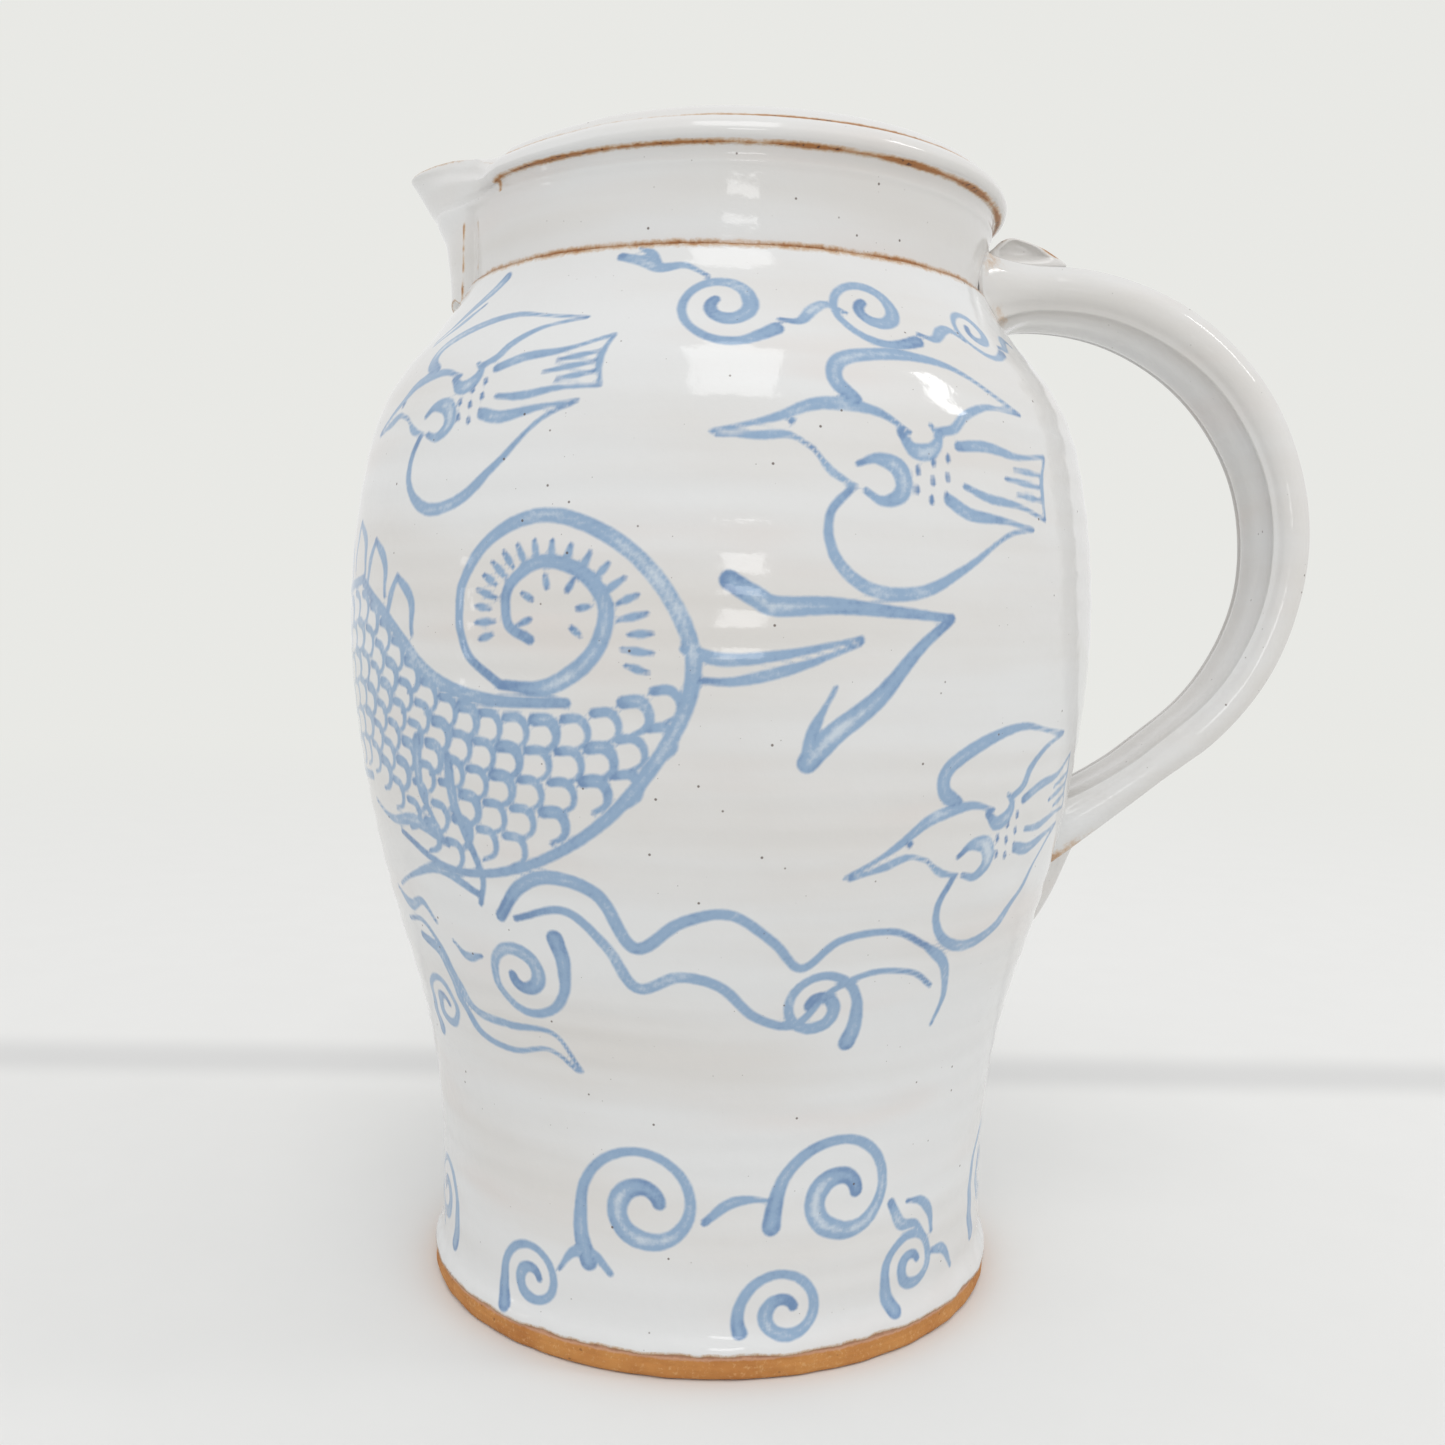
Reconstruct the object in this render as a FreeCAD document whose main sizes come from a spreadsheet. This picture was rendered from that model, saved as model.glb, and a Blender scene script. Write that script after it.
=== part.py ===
import FreeCAD, Part
import math
import os

import Sketcher
from FreeCAD import Placement, Rotation, Vector

# A wheel-thrown stoneware pitcher with an applied spout and a pulled strap handle.
# Millimetres, +Z up.  The origin is the centre of the flat base, on the pot's own axis.
# The spout points towards -X and the handle towards +X.

SHEET_NAME = "Sizes"

# Driving dimensions.  The pot's outline is a chain of arcs, each tangent to the one before.
SIZES = [
    ("bevel", 1.2, "bevel where the foot meets the table"),
    ("foot_radius", 69.3, "bare clay foot, at its widest"),
    ("foot_height", 4.5, "edge of the glaze above the table"),
    ("waist_radius", 67.6, "upright stretch above the foot"),
    ("flare_height", 10.0, "top of the small flare at the foot"),
    ("waist_height", 27.0, "top of the upright stretch"),
    ("flank_radius", 76.0, "steepest outward slope"),
    ("flank_height", 80.5, ""),
    ("belly_radius", 88.3, "full belly, below its widest ring"),
    ("belly_height", 136.7, ""),
    ("shoulder_radius", 85.2, "where the shoulder turns in"),
    ("shoulder_height", 198.3, ""),
    ("slope_radius", 74.5, "steepest inward slope"),
    ("slope_height", 219.1, ""),
    ("neck_radius", 63.1, "turned line at the foot of the collar"),
    ("neck_height", 235.3, ""),
    ("collar_radius", 62.3, "collar just above the turned line"),
    ("collar_top_radius", 64.2, "collar just under the rim"),
    ("rim_height", 254.9, "underside of the rim"),
    ("rim_arris_radius", 65.4, "sharp lower edge of the rim"),
    ("rim_roll_radius", 67.0, "where the rim's roll starts"),
    ("rim_roll_height", 256.6, ""),
    ("rim_brow_radius", 61.0, "where the roll ends, under the thin top edge"),
    ("rim_brow_height", 263.0, ""),
    ("rim_top_radius", 59.0, "highest ring of the rim"),
    ("total_height", 265.0, ""),
    ("bore_radius", 57.0, "inside of the collar and rim"),
    ("wall", 6.0, "thickness of the thrown wall"),
    ("floor_height", 10.0, "glazed floor inside"),
    ("floor_radius", 52.0, "flat part of the floor inside"),
    ("floor_round_height", 20.0, "top of the rounding between floor and wall"),
    ("spout_wall", 4.5, "thickness of the applied spout"),
    ("channel_root", 55.0, "the channel opens into the pot at this radius"),
    ("channel_start", 241.0, "floor of the pouring channel"),
    ("channel_top", 267.0, "the channel's cutter ends above the lip"),
    ("channel_narrowing", 4.0, "degrees less than the spout, on each side"),
    ("handle_centre_x", 77.0, "centre of the handle's round bend"),
    ("handle_centre_z", 179.0, ""),
    ("handle_bend", 60.0, "radius of the strap's centre line"),
    ("strap_width_top", 31.0, "strap below its root"),
    ("strap_width_end", 26.0, "strap above its lower joint"),
    ("strap_thick_top", 13.6, ""),
    ("strap_thick_end", 11.0, ""),
]

# Spout stations: height, reach of the tip from the axis, radius of the nose in plan, and
# the radius and half angle at which the flanks start, inside the collar or rim.
SPOUT_KEYS = ("height", "tip", "nose", "root", "spread")
SPOUT_STATIONS = {
    "base": (234.8, 67.6, 9.0, 60.0, 9.0),
    "low": (243.0, 67.9, 9.0, 60.0, 12.0),
    "middle": (251.0, 69.6, 9.5, 61.0, 18.0),
    "high": (258.0, 73.4, 10.5, 66.0, 32.0),
    "lip": (264.4, 77.8, 12.0, 66.0, 36.0),
}

# Strap stations.  A negative run is before the bend, a positive run after it; between them
# the place is an angle on the bend.  Then: share of the way from the top sizes to the end
# sizes, and the flare of width and thickness.
BEND_END = -50.0
STRAP_STATIONS = [
    ("run", -18.0, 0.0, 1.40, 1.75),
    ("run", -9.0, 0.0, 1.28, 1.40),
    ("bend", 90.0, 0.0, 1.13, 1.14),
    ("bend", 65.0, 0.1, 1.02, 1.02),
    ("bend", 35.0, 0.3, 1.00, 1.00),
    ("bend", 0.0, 0.5, 1.00, 1.00),
    ("bend", -25.0, 0.7, 1.00, 1.00),
    ("bend", BEND_END, 0.9, 1.00, 1.00),
    ("run", 20.0, 1.0, 1.00, 1.00),
    ("run", 36.0, 1.0, 1.02, 1.12),
    ("run", 50.0, 1.0, 1.05, 1.20),
]

# Leaves of clay as oval sections: X and Z of the middle, width in Y, and thickness.
LEAF_KEYS = ("x", "z", "width", "thick")
LEAVES = {
    "thumb": [
        (61.0, 248.5, 12.0, 6.0),
        (66.5, 249.6, 20.0, 8.4),
        (72.5, 249.2, 18.0, 8.6),
        (78.5, 247.4, 12.0, 6.4),
        (84.0, 245.8, 5.0, 2.6),
    ],
    "tail": [
        (71.0, 79.5, 4.0, 4.0),
        (73.6, 83.0, 8.0, 8.0),
        (76.4, 90.0, 16.0, 10.4),
        (79.6, 99.0, 22.5, 12.4),
        (80.5, 106.0, 24.0, 12.0),
    ],
}

FULL_TURN = 360.0
V_AXIS = -2
H_AXIS = -1
ORIGIN = (-1, 1)
START = 1
END = 2
CENTRE = 3
SAME_POINT = 1e-6

document = FreeCAD.newDocument("Pitcher")
sheet = document.addObject("Spreadsheet::Sheet", SHEET_NAME)


def add_size(row, name, value, note):
    """One row of the sheet: the note, then the value under its alias."""
    sheet.set("A%d" % row, note)
    sheet.set("B%d" % row, repr(value))
    sheet.setAlias("B%d" % row, name)


def fill_sheet():
    rows = list(SIZES)
    for station, values in SPOUT_STATIONS.items():
        for key, value in zip(SPOUT_KEYS, values):
            rows.append(("spout_%s_%s" % (station, key), value, "spout station"))
    for leaf, sections in LEAVES.items():
        for number, values in enumerate(sections, start=1):
            for key, value in zip(LEAF_KEYS, values):
                rows.append(("%s_%d_%s" % (leaf, number, key), value, leaf + " section"))
    for row, (name, value, note) in enumerate(rows, start=1):
        add_size(row, name, value, note)
    document.recompute()


def amount(terms):
    """The value of 'belly_radius' or 'belly_radius - wall'."""
    values = [float(sheet.get(name)) for name in terms.split(" - ")]
    return values[0] - sum(values[1:])


def expression(terms):
    """The same terms as an expression on the sheet."""
    return " - ".join("%s.%s" % (SHEET_NAME, name) for name in terms.split(" - "))


def origin_plane(body, role):
    return next(item for item in body.Origin.OriginFeatures if item.Role == role)


def new_sketch(body, name, role):
    sketch = body.newObject("Sketcher::SketchObject", name)
    sketch.AttachmentSupport = [(origin_plane(body, role), "")]
    sketch.MapMode = "FlatFace"
    return sketch


def pin_point(sketch, geometry, position, axis_kind, terms):
    """Fix one coordinate of a point: on the axis when terms is None, else bound to the sheet."""
    if terms is None:
        axis = V_AXIS if axis_kind == "DistanceX" else H_AXIS
        sketch.addConstraint(Sketcher.Constraint("PointOnObject", geometry, position, axis))
        return
    reference = ORIGIN + (geometry, position, amount(terms))
    index = sketch.addConstraint(Sketcher.Constraint(axis_kind, *reference))
    sketch.setExpression("Constraints[%d]" % index, expression(terms))


def tangent_arc(start, heading, end):
    """The arc from start to end that leaves along heading, and its own last heading."""
    chord = math.atan2(end.y - start.y, end.x - start.x)
    half_turn = chord - heading
    length = start.distanceToPoint(end)
    middle_heading = heading + half_turn / 2.0
    to_middle = length / 2.0 / math.cos(half_turn / 2.0)
    middle = start + Vector(math.cos(middle_heading), math.sin(middle_heading), 0) * to_middle
    return Part.Arc(start, middle, end), chord + half_turn


def add_arc(sketch, arc, start):
    """Add an arc; returns its index, then which of its ends are the start and the end."""
    index = sketch.addGeometry(arc, False)
    forwards = sketch.getPoint(index, START).distanceToPoint(start) < SAME_POINT
    return (index, START, END) if forwards else (index, END, START)


def outline_sketch(body, name, corners):
    """A closed outline in the XZ plane.

    Each corner is (x terms, z terms, kind of edge that leaves it).  An "arc" is tangent to
    the edge before it, and a "line" is straight.
    """
    sketch = new_sketch(body, name, "XZ_Plane")
    points = [Vector(amount(x) if x else 0.0, amount(z) if z else 0.0, 0) for x, z, _ in corners]
    heading = 0.0
    ends = []
    for index, (x_terms, z_terms, kind) in enumerate(corners):
        start = points[index]
        end = points[(index + 1) % len(points)]
        if kind == "arc":
            arc, heading = tangent_arc(start, heading, end)
            ends.append(add_arc(sketch, arc, start)[1:])
        else:
            sketch.addGeometry(Part.LineSegment(start, end), False)
            heading = math.atan2(end.y - start.y, end.x - start.x)
            ends.append((START, END))
    for index, (x_terms, z_terms, kind) in enumerate(corners):
        before = (index - 1) % len(corners)
        joint = (before, ends[before][1], index, ends[index][0])
        meeting = "Tangent" if kind == "arc" else "Coincident"
        sketch.addConstraint(Sketcher.Constraint(meeting, *joint))
        pin_point(sketch, index, ends[index][0], "DistanceX", x_terms)
        pin_point(sketch, index, ends[index][0], "DistanceY", z_terms)
    return sketch


def turned_body(name, corners):
    """A PartDesign body: the outline turned once round the pot's axis."""
    body = document.addObject("PartDesign::Body", name)
    sketch = outline_sketch(body, name + "_outline", corners)
    turn = body.newObject("PartDesign::Revolution", name + "_turn")
    turn.Profile = sketch
    turn.ReferenceAxis = (sketch, ["V_Axis"])
    turn.Angle = FULL_TURN
    sketch.Visibility = False
    document.recompute()
    return body


# The thrown pot, in its four turned bands.  Outer corners run upwards.
OUTER_WALL = [
    ("waist_radius", "flare_height", "line"),
    ("waist_radius", "waist_height", "arc"),
    ("flank_radius", "flank_height", "arc"),
    ("belly_radius", "belly_height", "arc"),
    ("shoulder_radius", "shoulder_height", "arc"),
    ("slope_radius", "slope_height", "arc"),
]
RIM_OUTSIDE = [
    ("rim_arris_radius", "rim_height", "line"),
    ("rim_roll_radius", "rim_roll_height", "arc"),
    ("rim_brow_radius", "rim_brow_height", "line"),
    ("rim_top_radius", "total_height", "line"),
]


def make_foot():
    """The solid disc of bare clay that the pot stands on."""
    return turned_body("foot", [
        (None, None, "line"),
        ("foot_radius - bevel", None, "line"),
        ("foot_radius", "bevel", "line"),
        ("foot_radius", "foot_height", "line"),
        (None, "foot_height", "line"),
    ])


def make_body_wall():
    """The glazed cup from the foot to the turned line, with the floor inside."""
    form = turned_body("body_form", [
        (None, "foot_height", "line"),
        ("foot_radius", "foot_height", "line"),
    ] + OUTER_WALL + [
        ("neck_radius", "neck_height", "line"),
        (None, "neck_height", "line"),
    ])
    hollow = turned_body("body_hollow", [
        (None, "floor_height", "line"),
        ("floor_radius", "floor_height", "arc"),
        ("waist_radius - wall", "floor_round_height", "line"),
        ("waist_radius - wall", "waist_height", "arc"),
        ("flank_radius - wall", "flank_height", "arc"),
        ("belly_radius - wall", "belly_height", "arc"),
        ("shoulder_radius - wall", "shoulder_height", "arc"),
        ("slope_radius - wall", "slope_height", "arc"),
        ("bore_radius", "neck_height", "line"),
        (None, "neck_height", "line"),
    ])
    return cut("body_wall", form, hollow)


def make_collar_ring():
    return turned_body("collar_ring", [
        ("bore_radius", "neck_height", "line"),
        ("collar_radius", "neck_height", "line"),
        ("collar_top_radius", "rim_height", "line"),
        ("bore_radius", "rim_height", "line"),
    ])


def make_rim_ring():
    return turned_body("rim_ring", [("bore_radius", "rim_height", "line")] + RIM_OUTSIDE + [
        ("bore_radius", "rim_brow_height", "line"),
    ])


def make_envelope():
    """Everything inside the pot's outer surface: the applied pieces stop at it."""
    lower = [(None, "foot_height", "line"), ("foot_radius", "foot_height", "line")]
    collar = [
        ("neck_radius", "neck_height", "line"),
        ("collar_radius", "neck_height", "line"),
        ("collar_top_radius", "rim_height", "line"),
    ]
    top = [(None, "total_height", "line")]
    return turned_body("envelope", lower + OUTER_WALL + collar + RIM_OUTSIDE + top)


def beak_terms(station, kind):
    """Sheet terms of one beak section: height, tip, nose, root and spread."""
    height, tip, nose, root, spread = ("spout_%s_%s" % (station, key) for key in SPOUT_KEYS)
    if kind == "outer":
        return height, tip, nose, root, spread
    height = {"low": "channel_start", "lip": "channel_top"}.get(station, height)
    inset = " - spout_wall"
    return height, tip + inset, nose + inset, "channel_root", spread + " - channel_narrowing"


def beak_sketch(body, name, height, tip, nose, root, spread):
    """A rounded V in plan at one height: straight back, two flanks and a nose arc."""
    sketch = new_sketch(body, name, "XY_Plane")
    sketch.AttachmentOffset = Placement(Vector(0, 0, amount(height)), Rotation())
    sketch.setExpression("AttachmentOffset.Base.z", expression(height))
    angle = math.radians(amount(spread))
    radius = amount(nose)
    centre = Vector(radius - amount(tip), 0, 0)
    corner = Vector(-math.cos(angle), math.sin(angle), 0) * amount(root)
    # The flank from the corner touches the nose circle where its radius is square to it.
    reach = corner.sub(centre)
    touch_angle = math.atan2(reach.y, reach.x) + math.acos(radius / reach.Length)
    touch = centre + Vector(math.cos(touch_angle), math.sin(touch_angle), 0) * radius
    far_corner = Vector(corner.x, -corner.y, 0)
    far_touch = Vector(touch.x, -touch.y, 0)
    back = sketch.addGeometry(Part.LineSegment(far_corner, corner), False)
    flank = sketch.addGeometry(Part.LineSegment(corner, touch), False)
    arc = add_arc(sketch, Part.Arc(touch, Vector(-amount(tip), 0, 0), far_touch), touch)
    far_flank = sketch.addGeometry(Part.LineSegment(far_touch, far_corner), False)
    for constraint in (
        Sketcher.Constraint("Coincident", back, END, flank, START),
        Sketcher.Constraint("Tangent", flank, END, arc[0], arc[1]),
        Sketcher.Constraint("Tangent", arc[0], arc[2], far_flank, START),
        Sketcher.Constraint("Coincident", far_flank, END, back, START),
        Sketcher.Constraint("PointOnObject", arc[0], CENTRE, H_AXIS),
        Sketcher.Constraint("Symmetric", back, START, back, END, H_AXIS),
    ):
        sketch.addConstraint(constraint)
    cosine = "%s * cos(%s)" % (expression(root), expression(spread))
    sine = "%s * sin(%s)" % (expression(root), expression(spread))
    nose_back = "(%s) - (%s)" % (expression(tip), expression(nose))
    for constraint, terms in (
        (Sketcher.Constraint("Radius", arc[0], radius), expression(nose)),
        (Sketcher.Constraint("DistanceX", arc[0], CENTRE, *ORIGIN, -centre.x), nose_back),
        (Sketcher.Constraint("DistanceX", back, END, *ORIGIN, -corner.x), cosine),
        (Sketcher.Constraint("DistanceY", *ORIGIN, back, END, corner.y), sine),
    ):
        index = sketch.addConstraint(constraint)
        sketch.setExpression("Constraints[%d]" % index, terms)
    return sketch


def beak_body(name, stations, kind):
    """A PartDesign body lofted upwards through rounded V sections."""
    body = document.addObject("PartDesign::Body", name)
    sketches = []
    for station in stations:
        sketches.append(beak_sketch(body, "%s_%s" % (name, station), *beak_terms(station, kind)))
    loft = body.newObject("PartDesign::AdditiveLoft", name + "_loft")
    loft.Profile = sketches[0]
    loft.Sections = sketches[1:]
    document.recompute()
    return body


def make_ellipse(name, rotation, place, width, thickness):
    """One oval section.  place, width and thickness are expressions on the sheet."""
    ellipse = document.addObject("Part::Ellipse", name)
    ellipse.Placement = Placement(Vector(), rotation)
    ellipse.setExpression("MajorRadius", "(%s) / 2" % width)
    ellipse.setExpression("MinorRadius", "(%s) / 2" % thickness)
    ellipse.setExpression("Placement.Base.x", place[0])
    ellipse.setExpression("Placement.Base.z", place[1])
    ellipse.Visibility = False
    return ellipse


def make_loft(name, sections):
    loft = document.addObject("Part::Loft", name)
    loft.Sections = sections
    loft.Solid = True
    document.recompute()
    return loft


def section_rotation(thickness_direction):
    """Width of the section along Y, thickness along the given direction."""
    across = Vector(0, 1, 0)
    return Rotation(across, thickness_direction, across.cross(thickness_direction), "XYZ")


def strap_place(kind, amount_along):
    """Centre of a strap section as expressions, and the direction of its thickness."""
    bend = SHEET_NAME + ".handle_bend"
    centre_x = SHEET_NAME + ".handle_centre_x"
    centre_z = SHEET_NAME + ".handle_centre_z"
    before_bend = kind == "run" and amount_along < 0.0
    angle = 90.0 if before_bend else BEND_END if kind == "run" else amount_along
    cosine = math.cos(math.radians(angle))
    sine = math.sin(math.radians(angle))
    # A straight run leaves the bend square to the radius at its end.
    run = amount_along if kind == "run" else 0.0
    place = (
        "%s + %s * %.6f + %.6f" % (centre_x, bend, cosine, run * sine),
        "%s + %s * %.6f - %.6f" % (centre_z, bend, sine, run * cosine),
    )
    return place, Vector(cosine, 0, sine)


def make_strap():
    """The pulled strap: level out of the collar, round the bend, straight into the belly."""
    sections = []
    for index, (kind, along, share, flare_width, flare_thick) in enumerate(STRAP_STATIONS):
        place, outward = strap_place(kind, along)
        blend = "(%s.strap_%s_top * %.3f + %s.strap_%s_end * %.3f) * %.3f"
        width = blend % (SHEET_NAME, "width", 1.0 - share, SHEET_NAME, "width", share, flare_width)
        thick = blend % (SHEET_NAME, "thick", 1.0 - share, SHEET_NAME, "thick", share, flare_thick)
        name = "strap_section_%d" % (index + 1)
        sections.append(make_ellipse(name, section_rotation(outward), place, width, thick))
    return make_loft("strap_stock", sections)


def make_leaf(leaf, thickness_direction):
    """A leaf of clay: the thumb rest, lying down, or the pressed tail, standing up."""
    sections = []
    for number in range(1, len(LEAVES[leaf]) + 1):
        x, z, width, thick = (expression("%s_%d_%s" % (leaf, number, key)) for key in LEAF_KEYS)
        rotation = section_rotation(thickness_direction)
        sections.append(make_ellipse("%s_section_%d" % (leaf, number), rotation, (x, z), width, thick))
    return make_loft(leaf + "_stock", sections)


def cut(name, base, tool):
    result = document.addObject("Part::Cut", name)
    result.Base = base
    result.Tool = tool
    document.recompute()
    return result


def fuse(name, shapes):
    result = document.addObject("Part::MultiFuse", name)
    result.Shapes = shapes
    document.recompute()
    return result


def check_document():
    for item in document.Objects:
        if "Invalid" in item.State or "Error" in item.State:
            raise RuntimeError("%s failed: %s" % (item.Name, item.State))


def write_nodes(nodes):
    os.makedirs("parts", exist_ok=True)
    for node in nodes:
        shape = node.Shape
        if shape.isNull() or not shape.isValid() or not shape.Solids:
            raise RuntimeError("%s has no valid solid" % node.Label)
        shape.exportStep("parts/%s.step" % node.Label)
        box = shape.optimalBoundingBox(True, False)
        print("%-12s %d solid %8.1f cm3  x %.1f..%.1f  y %.1f..%.1f  z %.1f..%.1f" % (
            node.Label, len(shape.Solids), shape.Volume / 1000.0,
            box.XMin, box.XMax, box.YMin, box.YMax, box.ZMin, box.ZMax))


fill_sheet()
foot = make_foot()
body_wall = make_body_wall()
envelope = make_envelope()
beak = beak_body("beak", list(SPOUT_STATIONS), "outer")
channel = beak_body("channel", list(SPOUT_STATIONS)[1:], "channel")
strap = make_strap()
thumb_leaf = make_leaf("thumb", Vector(0, 0, 1))
tail_leaf = make_leaf("tail", Vector(1, 0, 0))

# The channel opens the collar, the rim and the beak into one another.
collar = cut("collar", make_collar_ring(), channel)
rim = cut("rim", make_rim_ring(), channel)
spout = cut("spout", beak, fuse("spout_cutters", [envelope, channel]))
handle = cut("handle", strap, envelope)
leaf_cutters = fuse("leaf_cutters", [envelope, strap])
thumb_rest = cut("thumb_rest", thumb_leaf, leaf_cutters)
handle_tail = cut("handle_tail", tail_leaf, leaf_cutters)

check_document()
write_nodes([foot, body_wall, collar, rim, spout, handle, thumb_rest, handle_tail])
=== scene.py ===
"""A wheel-thrown stoneware pitcher: pulled spout, strap handle, white glaze and blue brushwork.

Lengths in the making are in millimetres and go to metres when a mesh is made. A turn is the
angle round the pot in radians, nothing at the front (-Y) and growing towards +X, the handle side.
"""

import math

import bpy
import numpy as np
from mathutils import Matrix, Vector


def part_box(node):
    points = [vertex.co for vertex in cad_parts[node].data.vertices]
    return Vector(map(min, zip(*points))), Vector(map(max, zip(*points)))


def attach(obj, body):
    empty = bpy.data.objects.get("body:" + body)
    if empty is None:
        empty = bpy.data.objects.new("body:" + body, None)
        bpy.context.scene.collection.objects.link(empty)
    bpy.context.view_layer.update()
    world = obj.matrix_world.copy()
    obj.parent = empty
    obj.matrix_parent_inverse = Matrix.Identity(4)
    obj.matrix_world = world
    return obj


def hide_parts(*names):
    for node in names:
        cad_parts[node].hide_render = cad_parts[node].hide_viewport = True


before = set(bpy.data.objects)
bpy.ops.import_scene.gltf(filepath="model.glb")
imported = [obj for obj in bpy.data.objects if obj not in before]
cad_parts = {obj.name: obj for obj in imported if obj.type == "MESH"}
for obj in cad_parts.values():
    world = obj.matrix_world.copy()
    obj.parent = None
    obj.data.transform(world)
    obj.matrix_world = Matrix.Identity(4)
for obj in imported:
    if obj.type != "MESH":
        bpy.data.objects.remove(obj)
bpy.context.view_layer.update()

MM = 0.001
SPOUT_TURN = -math.pi / 2
HANDLE_TURN = math.pi / 2

FOOT_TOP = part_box("foot")[1].z / MM
FOOT_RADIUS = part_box("foot")[1].x / MM
COLLAR_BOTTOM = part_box("collar")[0].z / MM
RIM_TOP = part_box("rim")[1].z / MM
RIM_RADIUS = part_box("rim")[1].y / MM
SPOUT_TIP = -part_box("spout")[0].x / MM
WALL = 6.0
FLOOR = 10.0
BORE = 57.0


# ------------------------------------------------------------------ small maths


def ease(low, high, value):
    """0 below low, 1 above high and a smooth step between."""
    x = np.clip((value - low) / (high - low), 0.0, 1.0)
    return x * x * (3.0 - 2.0 * x)


def hump(value, width):
    """A bell of height 1 at value 0."""
    return np.exp(-((value / width) ** 2))


def wrapped(turn):
    """A turn brought between minus and plus half a revolution."""
    return (turn + math.pi) % (2.0 * math.pi) - math.pi


def wander(turn, height, seed, around=6, up=45.0):
    """A smooth uneven value, mostly between -1 and 1, that joins up all the way round."""
    draw = np.random.default_rng(seed)
    total = 0.0
    for _ in range(7):
        waves = draw.integers(1, around + 1)
        climb = draw.normal() * 2.0 * math.pi / up
        phase = draw.uniform(0.0, 2.0 * math.pi)
        total = total + np.sin(waves * turn + climb * height + phase)
    return total / 2.6


def spline(keys, count):
    """Catmull-Rom points through the rows of keys, count to a span, ends included."""
    keys = np.asarray(keys, float)
    padded = np.vstack([2 * keys[0] - keys[1], keys, 2 * keys[-1] - keys[-2]])
    points = []
    for i in range(1, len(padded) - 2):
        a, b, c, d = padded[i - 1 : i + 3]
        for t in np.arange(count) / count:
            curve = 2 * a - 5 * b + 4 * c - d + t * (3 * (b - c) + d - a)
            points.append(b + 0.5 * t * (c - a + t * curve))
    points.append(keys[-1])
    return np.array(points)


def evenly(points, step):
    """A polyline resampled at close to even steps, measured along its first two columns."""
    lengths = np.linalg.norm(np.diff(points[:, :2], axis=0), axis=1)
    run = np.concatenate([[0.0], np.cumsum(lengths)])
    count = max(2, int(round(run[-1] / step)) + 1)
    at = np.linspace(0.0, run[-1], count)
    return np.column_stack([np.interp(at, run, column) for column in points.T])


def round_pot(turn, radius, height):
    """Points at those turns, radii and heights, in mm."""
    turn, radius, height = np.broadcast_arrays(turn, radius, height)
    return np.stack([radius * np.sin(turn), -radius * np.cos(turn), height], axis=-1)


# ------------------------------------------------------------------ meshes


def grid_faces(rows, columns, closed):
    """Quads of a grid, joined round its columns if it is closed."""
    across = columns if closed else columns - 1
    r, c = np.meshgrid(np.arange(rows - 1), np.arange(across), indexing="ij")
    d = (c + 1) % columns
    quads = np.stack([r * columns + c, r * columns + d, (r + 1) * columns + d, (r + 1) * columns + c], -1)
    return quads.reshape(-1, 4)


def skin(rings, start=None, end=None, flip=False):
    """Points and faces of rings joined in turn, with a fan to a middle point at an end that has one."""
    rings = np.asarray(rings)
    rows, columns = rings.shape[:2]
    points = list(rings.reshape(-1, 3))
    faces = grid_faces(rows, columns, True).tolist()
    for hub, row in ((start, 0), (end, rows - 1)):
        if hub is not None:
            first = row * columns
            fan = [(first + (k + 1) % columns, first + k, len(points)) for k in range(columns)]
            faces += fan if row == 0 else [face[::-1] for face in fan]
            points.append(hub)
    if flip:
        faces = [face[::-1] for face in faces]
    return np.array(points), faces


def into_scene(name, data):
    """A new object of that name, linked to the scene."""
    item = bpy.data.objects.new(name, data)
    bpy.context.scene.collection.objects.link(item)
    return item


def build(name, points, faces, material, nodes, values=None, normals=None):
    """A smooth mesh piece on the body, with its named values per vertex, standing for those nodes."""
    mesh = bpy.data.meshes.new(name)
    mesh.from_pydata((np.asarray(points) * MM).tolist(), [], [list(map(int, f)) for f in faces])
    mesh.polygons.foreach_set("use_smooth", np.ones(len(mesh.polygons), bool))
    for key, value in (values or {}).items():
        layer = mesh.attributes.new(key, "FLOAT", "POINT")
        layer.data.foreach_set("value", np.asarray(value, np.float32).ravel())
    if normals is not None:
        mesh.normals_split_custom_set_from_vertices(normals.tolist())
    mesh.materials.append(material)
    mesh.validate()
    piece = into_scene(name, mesh)
    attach(piece, "root")
    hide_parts(*nodes)
    return piece


def mesh_normals(points, faces):
    """Vertex normals of a whole mesh, so that pieces cut from it still shade as one."""
    corners = points[faces]
    flat = np.cross(corners[:, 2] - corners[:, 0], corners[:, 3] - corners[:, 1])
    total = np.zeros_like(points)
    for k in range(4):
        np.add.at(total, faces[:, k], flat)
    return total / np.maximum(np.linalg.norm(total, axis=1, keepdims=True), 1e-12)


def cut_out(points, faces, keep, values, normals):
    """The faces that are kept, with only the vertices they use."""
    faces = faces[keep]
    used, inverse = np.unique(faces, return_inverse=True)
    kept = {key: np.asarray(value).ravel()[used] for key, value in values.items()}
    return points[used], inverse.reshape(faces.shape), kept, normals[used]


# ------------------------------------------------------------------ materials


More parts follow.
